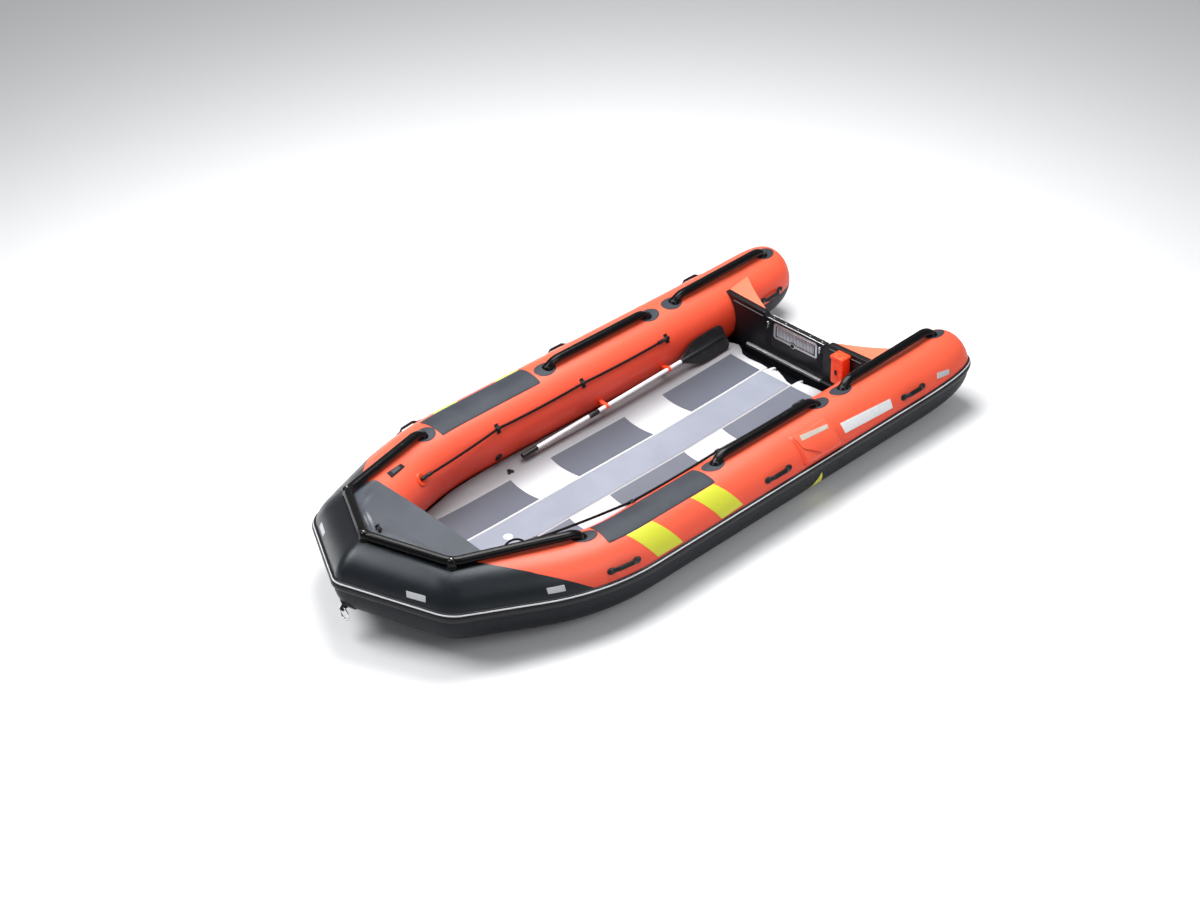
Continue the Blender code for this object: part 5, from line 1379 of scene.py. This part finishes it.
middle = OAR_NECK + OAR_WAY * (BLADE_SEAT + (BLADE_LENGTH - BLADE_SEAT * 2) * share) + wide_way * spread * half
blade = shell(middle + thick_way * (edge + rib - dish), middle - thick_way * (edge + rib + dish))
for side, hand in SIDES:
    flip = (1, side, 1)
    build(f"oar_{hand}", [(shaft[0] * flip, shaft[1])], shaft_paint, "white_shaft", f"oar_shaft_{hand}")
    build(f"oar_grip_{hand}", [(part[0] * flip, part[1]) for part in (grip_bar, sleeve)], handle_rubber,
          "black_rubber")
    build(f"oar_blade_{hand}_moulded", [(blade[0] * flip, blade[1])], blade_plastic, "black_rubber",
          f"oar_blade_{hand}")
    for place, x in CLIP_PLACES.items():
        band = bar_of([(down_oar(x) + distance, radius) for distance, radius in CLIP_BAND])
        build(f"oar_band_{place}_{hand}", [(band[0] * flip, band[1])], orange_plastic, "orange_fabric")
        dress(f"oar_clip_{place}_{hand}", orange_plastic)

# The spray cover is stretched over the bow between the rails: dark grey woven cloth with a
# turned hem along its straight rear edge, drawn into soft creases towards the tip.
COVER_EDGE = np.array((
    # x, half width: from the corner out to the rail, along it, then in to the tip
    (1.597, 0.522), (1.650, 0.530), (1.720, 0.520), (1.783, 0.490), (1.813, 0.466), (1.920, 0.262),
    (2.026, 0.030)))
COVER_ARCH = 0.014
COVER_CLEAR = 0.0030
COVER_CLOTH = 0.0022
HEM_RADIUS = 0.0055
HEM_SIDES = 12
CREASES = (
    # height, width, and the two ends (x, y) of each fold
    (0.0200, 0.016, (1.868, -0.270), (1.978, -0.030)), (0.0120, 0.011, (1.905, -0.250), (1.990, -0.070)),
    (0.0020, 0.014, (1.900, 0.130), (1.985, 0.025)), (0.0020, 0.012, (1.840, 0.260), (1.975, 0.070)),
    (0.0025, 0.018, (1.700, -0.440), (1.850, -0.310)))
CREASE_MIDDLE = 0.55
CLEAT_PLACE = (1.958, -0.012)
CLEAT_LOOP = ((0.0, -0.030, 0.002), (-0.012, -0.020, 0.018), (-0.004, 0.0, 0.026), (0.010, 0.022, 0.016),
              (0.014, 0.036, 0.002))
COVER_COLOURS = ((0.034, 0.039, 0.050, 1), (0.050, 0.056, 0.070, 1))
# A paler colour painted along the crests of the creases as a highlight.
CREASE_HIGHLIGHT_COLOUR = (0.30, 0.31, 0.33, 1)

cover_cloth, shader, place, flat = start_finish("cover_cloth", {"Sheen Weight": 0.2, "Sheen Roughness": 0.45,
                                                                "Specular Tint": SHEEN})
threads = flat.bands(0.0022) * 0.5 + flat.bands(0.0022, "Y") * 0.5
wash = place.noise(5.0, 4.0, 0.8)
cloth_x, cloth_y = flat.parts()[:2]
# Painted highlight: the cloth turns paler along the crests of the creases, as if light caught them.
crease_highlight = 0
for rise, width, start, stop in CREASES:
    length = math.dist(start, stop)
    way = np.subtract(stop, start) / length
    onward = (cloth_x - start[0]) * way[0] + (cloth_y - start[1]) * way[1]
    away = abs((cloth_x - start[0]) * way[1] - (cloth_y - start[1]) * way[0])
    ends = abs(onward - length * CREASE_MIDDLE).ramp(length * 0.45, 0.0)
    crease_highlight = crease_highlight + away.ramp(width * 1.1, 0.0) * ends * (rise / CREASES[0][0])
clean = (wash.ramp(0.3, 0.7) * 0.7 + threads * 0.3).blend(*COVER_COLOURS)
feed(shader, base_color=(crease_highlight * (wash * 0.5 + 0.6)).blend(clean, CREASE_HIGHLIGHT_COLOUR),
     roughness=wash * 0.10 + threads * 0.06 + 0.28,
     normal=(threads * 0.3 + place.noise(11.0, 3.0, 1.0) * 0.7).bump(0.0014))


def cover_height(x, y):
    """Height of the cover, arched between the tubes."""
    crest = np.interp(x, (BEND_X, KNUCKLE[0], TIP[0]), (TUBE_RADIUS, KNUCKLE[2], TIP[2])) + TUBE_RADIUS
    half = np.interp(x, COVER_EDGE[:, 0], COVER_EDGE[:, 1])
    return crest + COVER_ARCH * np.clip(1 - (y / half) ** 2, 0, 1)


def cover_folds(x, y):
    """Height of the soft folds that are drawn together towards the tip."""
    height = 0.0
    for rise, width, start, stop in CREASES:
        way = np.subtract(stop, start)
        share = ((x - start[0]) * way[0] + (y - start[1]) * way[1]) / (way @ way)
        away = ((x - start[0]) * way[1] - (y - start[1]) * way[0]) / np.linalg.norm(way)
        height = height + rise * np.exp(-(away / width) ** 2 - ((share - CREASE_MIDDLE) / 0.42) ** 4)
    return height


bow_x = np.linspace(1.50, TIP[0], 140)[:, None]
bow_turn = np.linspace(40.0, 170.0, 80)
bow_tops = []
for side, _ in SIDES:
    points, faces = shell(*(hull(bow_x, bow_turn, lift, side) for lift in (BOW_PROUD, 0.0)))
    bow_tops.append(BVHTree.FromPolygons(points.tolist(), faces))
x = np.linspace(COVER_EDGE[0, 0], COVER_EDGE[-1, 0], 100)[:, None]
y = np.interp(x, COVER_EDGE[:, 0], COVER_EDGE[:, 1]) * np.linspace(-1, 1, 141)
z = cover_height(x, y)
cover_top = np.stack(np.broadcast_arrays(x, y, z), -1)
for point in cover_top.reshape(-1, 3):
    hits = [top.ray_cast((point[0], point[1], 2.0), (0, 0, -1))[0] for top in bow_tops]
    point[2] = max([point[2]] + [hit.z + COVER_CLEAR for hit in hits if hit])
cover_top[..., 2] += cover_folds(x, y) + COVER_CLOTH
cover = build("cover", [shell(cover_top, cover_top - (0, 0, COVER_CLOTH))], cover_cloth, "cover_fabric",
              "spray_cover", cloth=cover_top[..., :2])
hem_path = cover_top[0, 1:-1] + (0.001, 0.0, -0.002)
hem = build("cover_hem", [sweep(hem_path, circle(HEM_RADIUS, HEM_SIDES, 0.55))], cover_cloth, "cover_fabric",
            cloth=np.repeat(hem_path[:, :2], HEM_SIDES, 0))
cleat = np.array((*CLEAT_PLACE, cover_height(*CLEAT_PLACE) + COVER_CLOTH + 0.004))
build("cover_cleat", [
    turned([(AXIS, -0.004), (0.020, -0.004), (0.020, 0.003), (0.014, 0.008), (AXIS, 0.009)], cleat, UP, 20),
    sweep(smooth_path(cleat + CLEAT_LOOP, 0.004), circle(0.0065, 10))], gloss_black, "black_rubber")
build("cover_button", [screw(cleat + (0.0, 0.0, 0.009), UP, 0.007)], worn_aluminium, "aluminium")

# Under the nose a forged eye on a rubber plate takes the towing ring, a bent steel wire that
# swings in the eye.
HINGE = np.array((2.2827, 0.0, 0.2388))
RING_RADIUS = 0.042
RING_SECTION = circle(0.00935, 16, 0.6)

dress("towing_eye", strake_rubber)
ring_place = circle(RING_RADIUS, 64)
loop = HINGE + np.stack([np.zeros(64), ring_place[:, 1], -RING_RADIUS - ring_place[:, 0]], -1)
build("tow_ring", [sweep(loop, RING_SECTION, FORWARD, closed=True)], steel, "aluminium", "towing_ring",
      body="ring")

# The two boxes, of the imported model and of what is dressed over it, are kept.
size = {"cad_box": cad_box, "visual_box": [list(corner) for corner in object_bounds()]}
